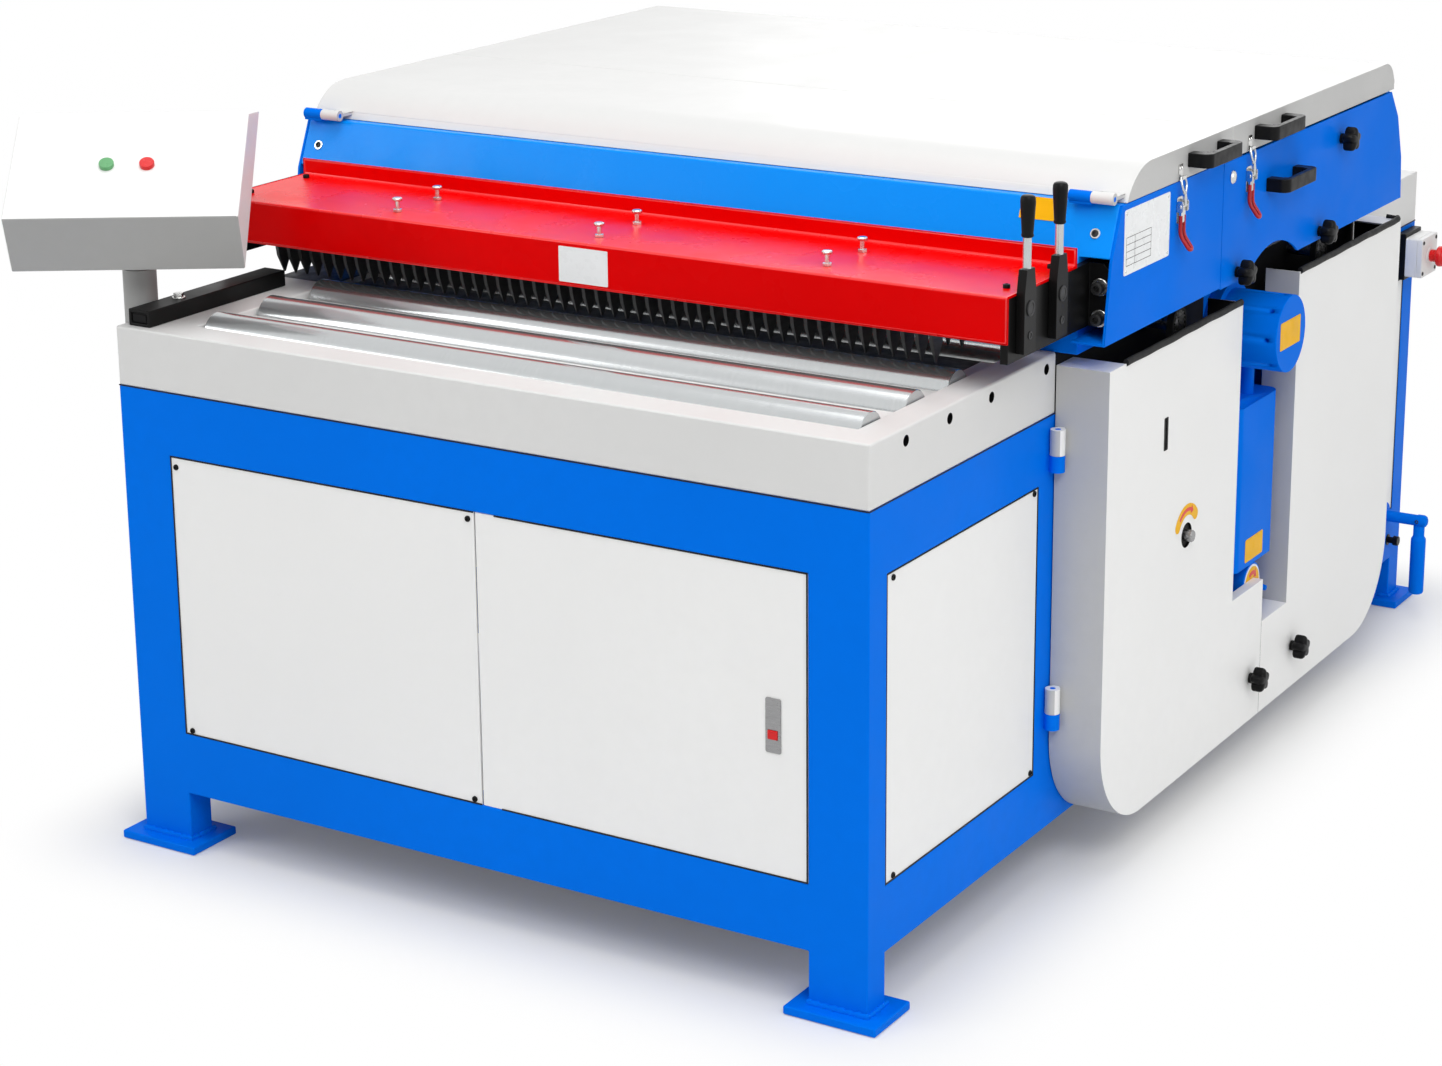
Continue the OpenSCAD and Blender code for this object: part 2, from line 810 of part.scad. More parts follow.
module outboard_arm() color("dodgerblue") difference() {
    union() {
        block([frame_w - drive_t, side_post_y + side_post_w, low_rail_top],
            [frame_w, rear_post_y, up_rail_z]);
        rod_x(jack_boss_d, frame_w - jack_boss_l, frame_w, jack_y, gear_z + jack_boss_d / 2 - gear_rise);
        translate([0, 0, arm_bottom]) linear_extrude(arm_top - arm_bottom) {
            rect([frame_w, arbor_y - arm_w / 2], [frame_w + arm_reach - arm_r, arbor_y + arm_w / 2]);
            rect([frame_w, arbor_y - arm_w / 2 + arm_r],
                [frame_w + arm_reach, arbor_y + arm_w / 2 - arm_r]);
            for (side = [-1, 1])
                translate([frame_w + arm_reach - arm_r, arbor_y + side * (arm_w / 2 - arm_r)])
                    circle(r = arm_r);
        }
        for (side = [-1, 1])
            rod_z(arm_bolt_d, frame_w + arm_reach / 2, arbor_y + side * arm_bolt_gap / 2, arm_top, arbor_z);
        rod_x(arm_drum_d, frame_w - drive_t, frame_w + arm_drum_reach, arbor_y + arm_drum_behind,
            arm_bottom - arm_drum_drop);
        rod_x(cap_flange_d, frame_w, frame_w + cap_flange_t, arbor_y, arbor_z);
        rod_x(cap_d, frame_w, frame_w + cap_reach, arbor_y, arbor_z);
    }
    rod_x(arbor_d + 2 * run_clear, frame_w - over, arbor_x1 + over, arbor_y, arbor_z);
    for (i = [0 : spanner_holes - 1])
        translate([frame_w + cap_reach - spanner_hole_in - spanner_hole_d / 2, arbor_y, arbor_z])
            rotate([i * 360 / spanner_holes, 0, 0])
                rod_z(spanner_hole_d, 0, 0, cap_d / 2 - spanner_hole_in, cap_d / 2 + over);
    rod_x(feed_shaft_d + 2 * run_clear, frame_w - jack_boss_l - over, frame_w + over, gear_y, gear_z);
    rod_x(feed_shaft_d + 2 * run_clear, frame_w - jack_boss_l - over, frame_w + over, jack_y, gear_z);
    rod_x(adjuster_d + 2 * run_clear, frame_w - drive_t - over, frame_w + over, gear_y, adjuster_z);
}

module main_motor() color("slategray") difference() {
    union() {
        rod_x(motor_d, motor_x0 + motor_bell_t, motor_x0 + motor_len, motor_y, motor_z);
        rod_x(motor_bell_d, motor_x0, motor_x0 + motor_len + motor_bell_t, motor_y, motor_z);
        for (i = [0 : motor_fins - 1])
            translate([motor_x0 + motor_bell_t, motor_y, motor_z]) rotate([i * 360 / motor_fins, 0, 0])
                block([motor_bell_t, -motor_fin_t / 2, motor_d / 2 - motor_fin_t],
                    [motor_len - 2 * motor_bell_t, motor_fin_t / 2, motor_d / 2 + motor_fin_h]);
        for (side = [-1, 1])
            translate([motor_x0 + motor_bell_t, motor_y + side * motor_foot_span / 2, 0])
                block([motor_foot_w, -motor_foot_w / 2, low_rail_top],
                    [motor_foot_w + motor_foot_len, motor_foot_w / 2, motor_z - motor_bell_t]);
        translate([motor_x0 + motor_len / 2, motor_y, motor_z + motor_d / 2])
            block([-terminal_size[0] / 2, -terminal_size[1] / 2, -motor_bell_t],
                [terminal_size[0] / 2, terminal_size[1] / 2, terminal_size[2]]);
    }
    rod_x(motor_shaft_d + 2 * run_clear, motor_x0 - over, motor_x0 + motor_bell_t, motor_y, motor_z);
}

module motor_pulley() color("gray") {
    grooved_pulley(motor_pulley_d, motor_y, motor_z);
    rod_x(motor_shaft_d, pulley_x, motor_x0 + motor_bell_t - over, motor_y, motor_z);
}

module drive_belts() for (i = [0 : belt_count - 1])
    translate([pulley_x + (i + 1 / 2) * belt_pitch - belt_w / 2, 0, 0])
        band(0, belt_w, [arbor_y, arbor_z], arbor_pulley_d / 2, [motor_y, motor_z], motor_pulley_d / 2,
            -belt_in, belt_out);

// Feed drive

module feed_gearmotor() color("slategray") difference() {
    x1 = frame_w - rail_t;
    x0 = x1 - gearbox_len;
    union() {
        block([x0, gear_y - gearbox_w / 2, gear_z - gearbox_h / 2],
            [x1, gear_y + gearbox_w / 2, gear_z + gearbox_h / 2]);
        rod_x(gearmotor_d, x0 - gearmotor_len, x0, gear_y, gear_z);
    }
    rod_x(feed_shaft_d + 2 * run_clear, x1 - gear_shaft_in, x1 + over, gear_y, gear_z);
}

module sprocket_shaft(y, x0) color("gray") {
    rod_x(feed_shaft_d, x0, sprocket_shaft_x, y, gear_z);
    for (plane = [0, 1]) sprocket(plane, y, gear_z);
}

module gear_sprocket() sprocket_shaft(gear_y, frame_w - rail_t - gear_shaft_in + over);
module jack_sprocket() sprocket_shaft(jack_y, frame_w - jack_boss_l);

module chain(plane, a, b) band(chain_x[plane], chain_x[plane] + sprocket_t, a, sprocket_r, b, sprocket_r,
    chain_gap, chain_gap + chain_t);

module belts_and_chains() color("dimgray") {
    drive_belts();
    chain(1, [gear_y, gear_z], [feed_y[0], roller_z]);
    chain(0, [gear_y, gear_z], [jack_y, gear_z]);
    chain(1, [jack_y, gear_z], [feed_y[1], roller_z]);
}

module tension_adjuster() color("silver") difference() {
    union() {
        rod_x(adjuster_d, frame_w - drive_t, guard_x1 - panel_inset, gear_y, adjuster_z);
        rod_x(adjuster_collar_d, frame_w + part_gap, frame_w + adjuster_collar_t, gear_y, adjuster_z);
    }
    rod_y(adjuster_cross_d, guard_x1 - adjuster_cross_in, gear_y - adjuster_d, gear_y + adjuster_d,
        adjuster_z);
}

// Drive guards

// Outline of the left guard, drawn in Y and Z, with its walls moved in
module left_guard_outline(in, open) {
    r = guard_r - in;
    rect([guard_y + in, guard_z + in + r], [guard_y1 - in, guard_top + open]);
    rect([guard_y + in + r, guard_z + in], [guard_seam_y - part_gap + open, guard_step_l - in]);
    translate([guard_y + in + r, guard_z + in + r]) circle(r = r);
}

// Outline of the right guard, drawn in Y and Z, with its walls moved in
module right_guard_outline(in, open) {
    r = guard_r - in;
    rect([guard_y2 + in, guard_z + in + r], [guard_end - in, guard_top + open]);
    rect([guard_seam_y + part_gap - open, guard_z + in], [guard_end - in - r, guard_step_r - in]);
    translate([guard_end - in - r, guard_z + in + r]) circle(r = r);
    rect([guard_y2 + in, guard_step_r - in - over], [guard_end - in - r, guard_z + in + r + over]);
}

// White knuckles of a guard hinge, on the side that its leaf points to
module guard_knuckles(y, wall) for (z = hinge_z) difference() {
    union() {
        rod_z(hinge_d, hinge_x, y, z + hinge_blue_h + part_gap, z + hinge_blue_h + hinge_white_h);
        block([hinge_x - hinge_leaf_t / 2, min(y, wall), z + hinge_blue_h + part_gap],
            [hinge_x + hinge_leaf_t / 2, max(y, wall), z + hinge_blue_h + hinge_white_h]);
    }
    rod_z(hinge_pin_d + 2 * run_clear, hinge_x, y, z, z + hinge_blue_h + hinge_white_h + over);
}

left_hinge_y = guard_y - hinge_d / 2 - part_gap;
right_hinge_y = guard_end + hinge_d / 2 + part_gap;
left_knob_y = guard_seam_y - guard_knob_in;
right_knob_y = guard_seam_y + guard_knob_gap;

module left_guard() color("white") difference() {
    union() {
        difference() {
            slab_x(guard_x0, guard_x1) left_guard_outline(0, 0);
            slab_x(guard_x0 - over, guard_x1 - sheet_t) left_guard_outline(sheet_t, over);
            block([guard_x0 - over, guard_y1 - sheet_t - over, guard_step_l],
                [guard_inner_x, guard_y1 + over, guard_top + over]);
            block([guard_x0 - over, guard_y1, guard_step_l - sheet_t - over],
                [guard_x1 - guard_step_lip, guard_seam_y, guard_step_l + over]);
        }
        block([guard_x0, guard_y, guard_top - sheet_t], [guard_x1, guard_y + guard_top_d, guard_top]);
        guard_knuckles(left_hinge_y, guard_y + over);
    }
    rod_x(adjuster_hole_d, guard_x1 - sheet_t - over, guard_x1 + over, gear_y, adjuster_z);
    rod_x(knob_stud_d + knob_stud_gap, guard_x1 - sheet_t - over, guard_x1 + over, left_knob_y,
        guard_knob_z);
    block([guard_x1 - sheet_t - over, guard_slot_y, guard_slot_z],
        [guard_x1 + over, guard_slot_y + guard_slot_w, guard_slot_z + guard_slot_h]);
}

module right_guard() color("white") difference() {
    union() {
        difference() {
            slab_x(guard_x0, guard_x1) right_guard_outline(0, 0);
            slab_x(guard_x0 - over, guard_x1 - sheet_t) right_guard_outline(sheet_t, over);
            block([guard_x0 - over, guard_y2 - over, guard_step_r],
                [guard_inner_x, guard_y2 + sheet_t + over, guard_top + over]);
        }
        block([guard_x0, guard_end - guard_top_d, guard_top - sheet_t], [guard_x1, guard_end, guard_top]);
        guard_knuckles(right_hinge_y, guard_end - over);
    }
    rod_x(knob_stud_d + knob_stud_gap, guard_x1 - sheet_t - over, guard_x1 + over, right_knob_y,
        guard_knob_z);
}

// Five-lobed knob on its stud, its seat on the plane x0
module star_knob(x0, y, z) color("#202020") translate([x0 + part_gap, y, z]) rotate([90, 0, 90]) {
    cylinder(d = knob_hub_d, h = knob_hub_t);
    translate([0, 0, knob_hub_t]) linear_extrude(knob_t) {
        circle(d = knob_d - knob_lobe_d);
        for (i = [0 : knob_lobes - 1])
            rotate(i * 360 / knob_lobes) translate([(knob_d - knob_lobe_d) / 2, 0]) circle(d = knob_lobe_d);
    }
    translate([0, 0, -knob_stud_l]) cylinder(d = knob_stud_d, h = knob_stud_l + over);
}

module left_guard_knob() star_knob(guard_x1, left_knob_y, guard_knob_z);
module right_guard_knob() star_knob(guard_x1, right_knob_y, guard_knob_z);
module door_knob_1() star_knob(hood_x1, door_y + door_knob_in[0], table_h + door_knob_rise[0]);
module door_knob_2() star_knob(hood_x1, door_y + door_knob_in[1], table_h + door_knob_rise[1]);
module door_knob_3() star_knob(hood_x1, door_y + door_knob_in[2], table_h + door_knob_rise[2]);

// Hood

// Y of the hood's front outline at a height
function hood_nose(z) = z < hood_knee_z
    ? hood_front + (hood_knee_y - hood_front) * (z - hood_side_z) / (hood_knee_z - hood_side_z)
    : hood_knee_y + (hood_brow_y - hood_knee_y) * (z - hood_knee_z) / (hood_z - hood_knee_z);

// Z of the hood's rear slope at a place along the feed
function hood_tail(y) = hood_z
    - (hood_z - hood_tail_mid[1]) * (y - hood_tail_y) / (hood_tail_mid[0] - hood_tail_y);

function nose_points(z0) = [[hood_nose(z0), z0], [hood_knee_y, hood_knee_z], [hood_brow_y, hood_z]];
function tail_points(z0, end) = [[hood_tail_y, hood_z], hood_tail_mid, hood_tail_low, [end, z0]];

module hood_posts() color("royalblue")
    for (x = [cover_x0 + arm_t, frame_w - rim_right], y = [hood_front + hood_post_in,
        hood_back - hood_post_in - hood_post_d])
        block([x, y, table_h], [x + rim_right + cover_reach - arm_t, y + hood_post_d, beam_z]);

module hood_sides() color("royalblue") {
    slab_x(hood_x0, hood_x0 + plate_t) polygon(concat(nose_points(hood_side_z),
        tail_points(hood_side_z, hood_back)));
    slab_x(hood_x1 - plate_t, hood_x1)
        polygon(concat(nose_points(hood_side_z), [[door_y - door_gap, hood_z],
            [door_y - door_gap, hood_side_z]]));
    x1 = hood_x1 - plate_t;
    for (x = [[hood_x0 + plate_t, cover_x0 + arm_t], [cover_x1 - arm_t, x1]])
        block([x[0], hood_front, hood_side_z], [x[1], beam_back, hood_side_z + plate_t]);
    difference() {
        union() {
            block([x1 - door_rail_t, beam_back, door_rail_z],
                [x1, rear_beam_front, door_rail_z + door_rail_h]);
            for (i = [0, 1])
                translate([0, door_y + door_knob_in[i], 0])
                    block([x1 - door_rail_t, -hanger_w / 2, hanger_z], [x1, hanger_w / 2, door_rail_z]);
        }
        for (i = [0 : len(door_knob_in) - 1])
            rod_x(knob_stud_d + knob_stud_gap, x1 - door_rail_t - over, x1 + over,
                door_y + door_knob_in[i], table_h + door_knob_rise[i]);
    }
}

module hood_beams() color("royalblue") difference() {
    slab_x(hood_x0 + plate_t, hood_x1 - plate_t) {
        polygon(concat(nose_points(beam_z), [[beam_back, hood_z], [beam_back, beam_z]]));
        polygon(concat([[rear_beam_front, beam_z],
            [rear_beam_front, hood_z]], tail_points(beam_z, hood_tail_low[0])));
    }
    for (x = [hood_x0, cover_x1 - arm_t])
        block([x, hood_front - over, beam_z - over],
            [x + hood_reach - cover_reach + arm_t, beam_back + over, recess_z]);
}

module side_door() color("royalblue") difference() {
    slab_x(hood_x1 - plate_t, hood_x1)
        polygon(concat([[door_y, door_z], [door_y, door_top], [hood_tail_y, door_top]],
            [hood_tail_mid, hood_tail_low, [hood_back, door_z]]));
    rod_x(2 * arch_r, hood_x1 - plate_t - over, hood_x1 + over, arbor_y, table_h - arch_drop);
    for (i = [0 : len(door_knob_in) - 1])
        rod_x(knob_stud_d + knob_stud_gap, hood_x1 - plate_t - over, hood_x1 + over,
            door_y + door_knob_in[i], table_h + door_knob_rise[i]);
}

// Outline of the front lid, drawn in Y and Z, with its walls moved in
module front_lid_outline(in, open) {
    r = lid_front_r - in;
    mid = [lid_front_y + sqrt(r * r - (r + in - lid_h) * (r + in - lid_h)) + in, lid_z - lid_front_r];
    intersection() {
        translate(mid) circle(r = r);
        rect([mid[0] - r, hood_z + lid_gap - open], [mid[0] + over, lid_z - in]);
    }
    rect([mid[0], hood_z + lid_gap - open], [lid_seam_y - lid_gap - in, lid_z - in]);
}

// Outline of the rear lid, drawn in Y and Z, with its walls moved in
module rear_lid_outline(in, open) {
    r = lid_back_r - in;
    mid = [lid_back_y - lid_back_r, lid_z - lid_back_r];
    rect([lid_seam_y + lid_gap + in, hood_z + lid_gap - open], [mid[0], lid_z - in]);
    rect([mid[0] - over, hood_z + lid_gap - open], [mid[0] + r, mid[1]]);
    intersection() {
        translate(mid) circle(r = r);
        rect([mid[0] - over, mid[1] - over], [mid[0] + r, mid[1] + r]);
    }
}

// Left ends of the hood's knuckles and, a step to the right, of the lids'
lid_knuckle_step = lid_knuckle_w + part_gap;
hood_knuckle_x = [hood_x0 + lid_knuckle_in, hood_x1 - lid_knuckle_in - lid_knuckle_w - lid_knuckle_step];
lid_knuckle_x = [for (x = hood_knuckle_x) x + lid_knuckle_step];

// Hinge knuckles across the hood
module lid_knuckle_pair(y, places)
    for (x = places) rod_x(lid_hinge_d, x, x + lid_knuckle_w, y, lid_axis_z);

module lid_hinge_half(y, wall) difference() {
    union() {
        lid_knuckle_pair(y, lid_knuckle_x);
        for (x = lid_knuckle_x)
            block([x, min(y, wall), lid_axis_z - lid_leaf_t / 2],
                [x + lid_knuckle_w, max(y, wall), lid_axis_z + lid_leaf_t / 2]);
    }
    rod_x(lid_pin_d + 2 * run_clear, hood_x0, hood_x1, y, lid_axis_z);
}

module front_lid() color("gainsboro") {
    difference() {
        slab_x(hood_x0, hood_x1) front_lid_outline(0, 0);
        slab_x(hood_x0 + sheet_t, hood_x1 - sheet_t) front_lid_outline(sheet_t, over);
    }
    lid_hinge_half(front_axis_y, lid_front_y + lid_leaf_in);
}

module rear_lid() color("gainsboro") {
    difference() {
        slab_x(hood_x0, hood_x1) rear_lid_outline(0, 0);
        slab_x(hood_x0 + sheet_t, hood_x1 - sheet_t) rear_lid_outline(sheet_t, over);
    }
    lid_hinge_half(rear_axis_y, lid_back_y - sheet_t / 2);
}

module hinge_knuckles() color("dodgerblue") {
    for (y = [left_hinge_y, right_hinge_y], z = hinge_z) {
        rod_z(hinge_d, hinge_x, y, z, z + hinge_blue_h);
        rod_z(hinge_pin_d, hinge_x, y, z, z + hinge_blue_h + hinge_white_h);
        block([frame_w, y - hinge_leaf_t / 2, z], [hinge_x, y + hinge_leaf_t / 2, z + hinge_blue_h]);
    }
    for (y = [front_axis_y, rear_axis_y]) {
        lid_knuckle_pair(y, hood_knuckle_x);
        for (x = hood_knuckle_x)
            rod_x(lid_pin_d, x, x + lid_knuckle_step + lid_knuckle_w, y, lid_axis_z);
    }
    for (x = hood_knuckle_x) {
        block([x, front_axis_y - lid_leaf_t, hood_z],
            [x + lid_knuckle_w, lid_front_y - lid_gap, hood_z + lid_leaf_t]);
        slab_x(x, x + lid_knuckle_w) polygon([
            for (side = [-1, 1]) [rear_axis_y + side * rear_ear_w / 2,
                hood_tail(rear_axis_y + side * rear_ear_w / 2)],
            [rear_axis_y + rear_ear_w / 2, lid_axis_z],
            [rear_axis_y - rear_ear_w / 2, lid_axis_z]
        ]);
    }
}

// Bow handle standing off the plane x0
module bow_handle(x0, y, z) color("#1c1c1c") translate([0, 0, z]) linear_extrude(handle_h) difference() {
    union() {
        rect([x0, y], [x0 + handle_out - handle_r, y + handle_len]);
        rect([x0, y + handle_r], [x0 + handle_out, y + handle_len - handle_r]);
        for (dy = [handle_r, handle_len - handle_r])
            translate([x0 + handle_out - handle_r, y + dy]) circle(r = handle_r);
    }
    rect([x0 - over, y + handle_t + handle_r],
        [x0 + handle_out - handle_t, y + handle_len - handle_t - handle_r]);
    rect([x0 - over, y + 2 * handle_t],
        [x0 + handle_out - handle_t - handle_r / 2, y + handle_len - 2 * handle_t]);
}

module front_lid_handle() bow_handle(hood_x1, front_handle_y, lid_handle_z);
module rear_lid_handle() bow_handle(hood_x1, rear_handle_y, lid_handle_z);
module side_door_handle() bow_handle(hood_x1, door_handle_y, door_handle_z);

// Latch lever with its bent grip, drawn in X and Z
module latch(y) color("firebrick") translate([0, y + latch_w / 2, 0]) rotate([90, 0, 0])
    linear_extrude(latch_w) translate([latch_pin_x, latch_z]) {
        circle(d = latch_ear_d);
        polygon([
            [-latch_t / 2, 0],
            [-latch_t / 2, latch_grip_bend - latch_len],
            [latch_grip_bend, -latch_len - latch_t / 2],
            [latch_grip_bend + latch_t, -latch_len],
            [latch_t / 2, latch_grip_bend + latch_t - latch_len],
            [latch_t / 2, 0]
        ]);
    }

module latch_front() latch(latch_front_y);
module latch_rear() latch(latch_rear_y);

// Anti-kickback guard

arm_y1 = hood_front + hood_post_in + hood_post_d;

// Bolting flange between a kickback arm and the hood side, its outer top corner cut
module arm_flange() translate([0, arm_flange_y + arm_flange_t, 0]) rotate([90, 0, 0])
    linear_extrude(arm_flange_t) polygon([
        [cover_x1 - arm_t, arm_z],
        [hood_x1 - plate_t, arm_z],
        [hood_x1 - plate_t, cover_z - sheet_t - arm_flange_cut],
        [hood_x1 - plate_t - arm_flange_cut, cover_z - sheet_t],
        [cover_x1 - arm_t, cover_z - sheet_t]
    ]);

module kickback_arms() color("#222222") difference() {
    union() {
        for (x = [cover_x0, cover_x1 - arm_t])
            block([x, cover_y + sheet_t, arm_z], [x + arm_t, arm_y1, cover_z - sheet_t]);
        arm_flange();
        translate([frame_w, 0, 0]) mirror([1, 0, 0]) arm_flange();
    }
    for (y = finger_row_y)
        rod_x(finger_shaft_d + 2 * run_clear, cover_x0 - over, cover_x1 + over, y, finger_axis_z);
}

module kickback_cover() color("red") {
    back = cover_y + cover_d;
    block([cover_x0, cover_y, cover_z - cover_front_h], [cover_x1, cover_y + sheet_t, cover_z - sheet_t]);
    block([cover_x0, cover_y, cover_z - sheet_t], [cover_x1, back, cover_z]);
    block([cover_x0, back - sheet_t, cover_z - sheet_t], [cover_x1, back, cover_z + cover_flange_h]);
}

// One finger round the shaft axis, drawn in Y and Z and hanging down
module finger_outline() difference() {
    union() {
        circle(d = finger_head_d);
        rotate(finger_lean) polygon([
            [-finger_neck_w / 2, 0],
            [finger_neck_w / 2, 0],
            [finger_waist, -finger_reach + finger_waist],
            [finger_tip_w, -finger_reach],
            [0, -finger_reach],
            [-finger_waist / 2, -finger_reach / 2]
        ]);
    }
    circle(d = finger_shaft_d + 2 * run_clear);
}

finger_x0 = finger_margin;
finger_x1 = frame_w - rim_right - finger_margin;

module finger_row(row) color("#262626")
    for (x = [finger_x0 + row * finger_spacing / 2 : finger_spacing : finger_x1])
        slab_x(x, x + finger_t) translate([finger_row_y[row], finger_axis_z]) finger_outline();

module finger_row_front() finger_row(0);
module finger_row_rear() finger_row(1);

module kickback_lever(row) color("dimgray") {
    y = finger_row_y[row];
    x0 = cover_x1 + part_gap;
    rod_x(finger_shaft_d, cover_x0 + part_gap, x0 + over, y, finger_axis_z);
    block([x0, y - lever_w / 2, finger_axis_z - lever_low],
        [x0 + lever_t, y + lever_w / 2, finger_axis_z + lever_block_h]);
    rod_z(lever_rod_d, x0 + lever_t / 2, y, finger_axis_z + lever_block_h - over,
        finger_axis_z + lever_h - over);
    rod_z(lever_grip_d, x0 + lever_t / 2, y, finger_axis_z + lever_h - lever_grip_h,
        finger_axis_z + lever_h);
}

module kickback_lever_front() kickback_lever(0);
module kickback_lever_rear() kickback_lever(1);

// Cabinet door

cabinet_x1 = frame_w - leg_w - cabinet_gap;
cabinet_z0 = low_rail_top + part_gap;
cabinet_z1 = up_rail_z - part_gap;
lock_button_x = lock_x + (lock_w - lock_button_size[0]) / 2;

// Box of the lock button, grown by a gap
module lock_button_box(grow) block(
    [lock_button_x - grow, panel_inset - lock_stand - panel_t / 2, lock_z + lock_button_z - grow],
    [lock_button_x + lock_button_size[0] + grow, panel_inset + lock_button_size[1],
        lock_z + lock_button_z + lock_button_size[2] + grow]);

// Pivot pin of the cabinet door, widened by extra for its bore
module cabinet_pin(extra) rod_z(cabinet_pin_d + extra, cabinet_x + part_gap + cabinet_pin_in,
    panel_inset + cabinet_pin_in, cabinet_z0 - cabinet_pin_reach, cabinet_z1 + cabinet_pin_reach);

module cabinet_door() color("white") {
    cabinet_pin(0);
    cabinet_sheet();
}

module cabinet_sheet() difference() {
    block([cabinet_x + part_gap, panel_inset, cabinet_z0],
        [cabinet_x1, panel_inset + cabinet_rim, cabinet_z1]);
    block([cabinet_x + part_gap + cabinet_rim_t, panel_inset + panel_t, cabinet_z0 + cabinet_rim_t],
        [cabinet_x1 - cabinet_rim_t, panel_inset + cabinet_rim + over, cabinet_z1 - cabinet_rim_t]);
    lock_button_box(part_gap);
}

module lock_button() color("red") lock_button_box(0);

// Console

// Moves children from the console's own frame to its place on the post
module on_console() translate([console_post_x, console_post_y, console_z])
    rotate([0, 0, console_swivel]) children();

// Moves children to a place on the sloping console panel, with Z pointing out of it
module on_panel(along) on_console()
    translate([along, (console_lip[0] + console_crown[0]) / 2, (console_lip[1] + console_crown[1]) / 2])
    rotate([console_slope, 0, 0]) children();

module console_post() color("gainsboro") {
    z0 = console_z - console_post_top;
    rod_z(console_post_d, console_post_x, console_post_y, z0 - console_post_low, z0);
    for (z = [up_rail_z + console_bracket_h / 2, table_h - 2 * console_bracket_h])
        block([console_post_x, console_post_y - console_bracket_w / 2, z],
            [0, console_post_y + console_bracket_w / 2, z + console_bracket_h]);
}

module console_box() color("gainsboro") difference() {
    on_console() {
        rotate([90, 0, 90]) translate([0, 0, -console_w / 2])
            linear_extrude(console_w) polygon([console_crown, console_lip, console_keel, console_back]);
        rod_z(console_post_d, 0, 0, part_gap - console_post_top, console_lip[1] + console_post_d);
    }
    for (side = [-1, 1])
        on_panel(side * console_button_gap / 2)
            rod_z(console_button_d + 2 * part_gap, 0, 0, -console_button_in - console_button_h, over);
}

module console_button(along) on_panel(along)
    rod_z(console_button_d, 0, 0, -console_button_in, console_button_h);
module start_button() color("honeydew") console_button(-console_button_gap / 2);
module stop_button() color("mistyrose") console_button(console_button_gap / 2);

// Emergency stop

estop_x = frame_w + estop_bracket_t;
estop_mid = [estop_y + estop_size[1] / 2, estop_z + estop_size[2] / 2];

module estop_box() color("lightgray") difference() {
    union() {
        block([frame_w, estop_y, estop_z - estop_bracket_lip],
            [estop_x, estop_y + estop_size[1], estop_z + estop_size[2] + estop_bracket_lip]);
        block([estop_x, estop_y, estop_z],
            [estop_x + estop_size[0], estop_y + estop_size[1], estop_z + estop_size[2]]);
    }
    rod_x(mushroom_stem_d + 2 * run_clear,
        estop_x + estop_size[0] - mushroom_stem_in - mushroom_travel - over,
        estop_x + estop_size[0] + over, estop_mid[0], estop_mid[1]);
}

module estop_button() color("red")
    translate([estop_x + estop_size[0], estop_mid[0], estop_mid[1]]) rotate([0, 90, 0]) {
    translate([0, 0, -mushroom_stem_in]) cylinder(d = mushroom_stem_d,
        h = mushroom_stem_in + mushroom_travel + over);
    rotate_extrude() polygon([
        [0, mushroom_travel + part_gap],
        [mushroom_neck_d / 2, mushroom_travel + part_gap],
        [mushroom_neck_d / 2, mushroom_reach / 3],
        [mushroom_d / 2, 2 * mushroom_reach / 3],
        [mushroom_d / 2, mushroom_reach - mushroom_travel],
        [mushroom_stem_d / 2, mushroom_reach],
        [0, mushroom_reach]
    ]);
}

// Crank

module crank_handle() color("dodgerblue") {
    x0 = frame_w + crank_boss_t + part_gap;
    x1 = frame_w + crank_boss_t + crank_reach;
    rod_x(crank_pin_d, frame_w - crank_pin_in + over, x0 + over, crank_y, crank_z);
    rod_x(crank_tube_d, x0, x1, crank_y, crank_z);
    rod_z(crank_tube_d, x1 - crank_hub_in, crank_y, crank_z - 2 * crank_hub_in, crank_z);
    rod_z(crank_grip_d, x1 - crank_hub_in, crank_y, crank_z - crank_len, crank_z - 2 * crank_hub_in);
}

place() frame_legs();
place() frame_rails();
place() table_bed();
place() table_sides();
place() side_panels();
place() guide_fence();
place() hood_posts();
place() hood_sides();
place() hood_beams();
place() bearing_blocks();
place() outboard_arm();
place() main_motor();
place() belts_and_chains();
place() feed_gearmotor();
place() kickback_arms();
place() kickback_cover();
place() console_post();
place() estop_box();
place() hinge_knuckles();
place() infeed_roller_1();
place() infeed_roller_2();
place() infeed_roller_3();
place() infeed_roller_4();
place() outfeed_roller();
place() feed_roller_front();
place() feed_roller_rear();
place() gear_sprocket();
place() jack_sprocket();
place() pressure_roller_front();
place() pressure_roller_rear();
place() arbor_shaft();
place() saw_blades();
place() motor_pulley();
place() front_lid();
place() front_lid_handle();
place() rear_lid();
place() rear_lid_handle();
place() side_door();
place() side_door_handle();
place() left_guard();
place() right_guard();
place() cabinet_door();
place() lock_button();
place() finger_row_front();
place() kickback_lever_front();
place() finger_row_rear();
place() kickback_lever_rear();
place() latch_front();
place() latch_rear();
place() left_guard_knob();
place() right_guard_knob();
place() door_knob_1();
place() door_knob_2();
place() door_knob_3();
place() console_box();
place() start_button();
place() stop_button();
place() estop_button();
place() crank_handle();
place() tension_adjuster();
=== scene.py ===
# Looks of the multi rip saw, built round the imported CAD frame
import json
import math

import bmesh
import bpy
from mathutils import Matrix, Vector


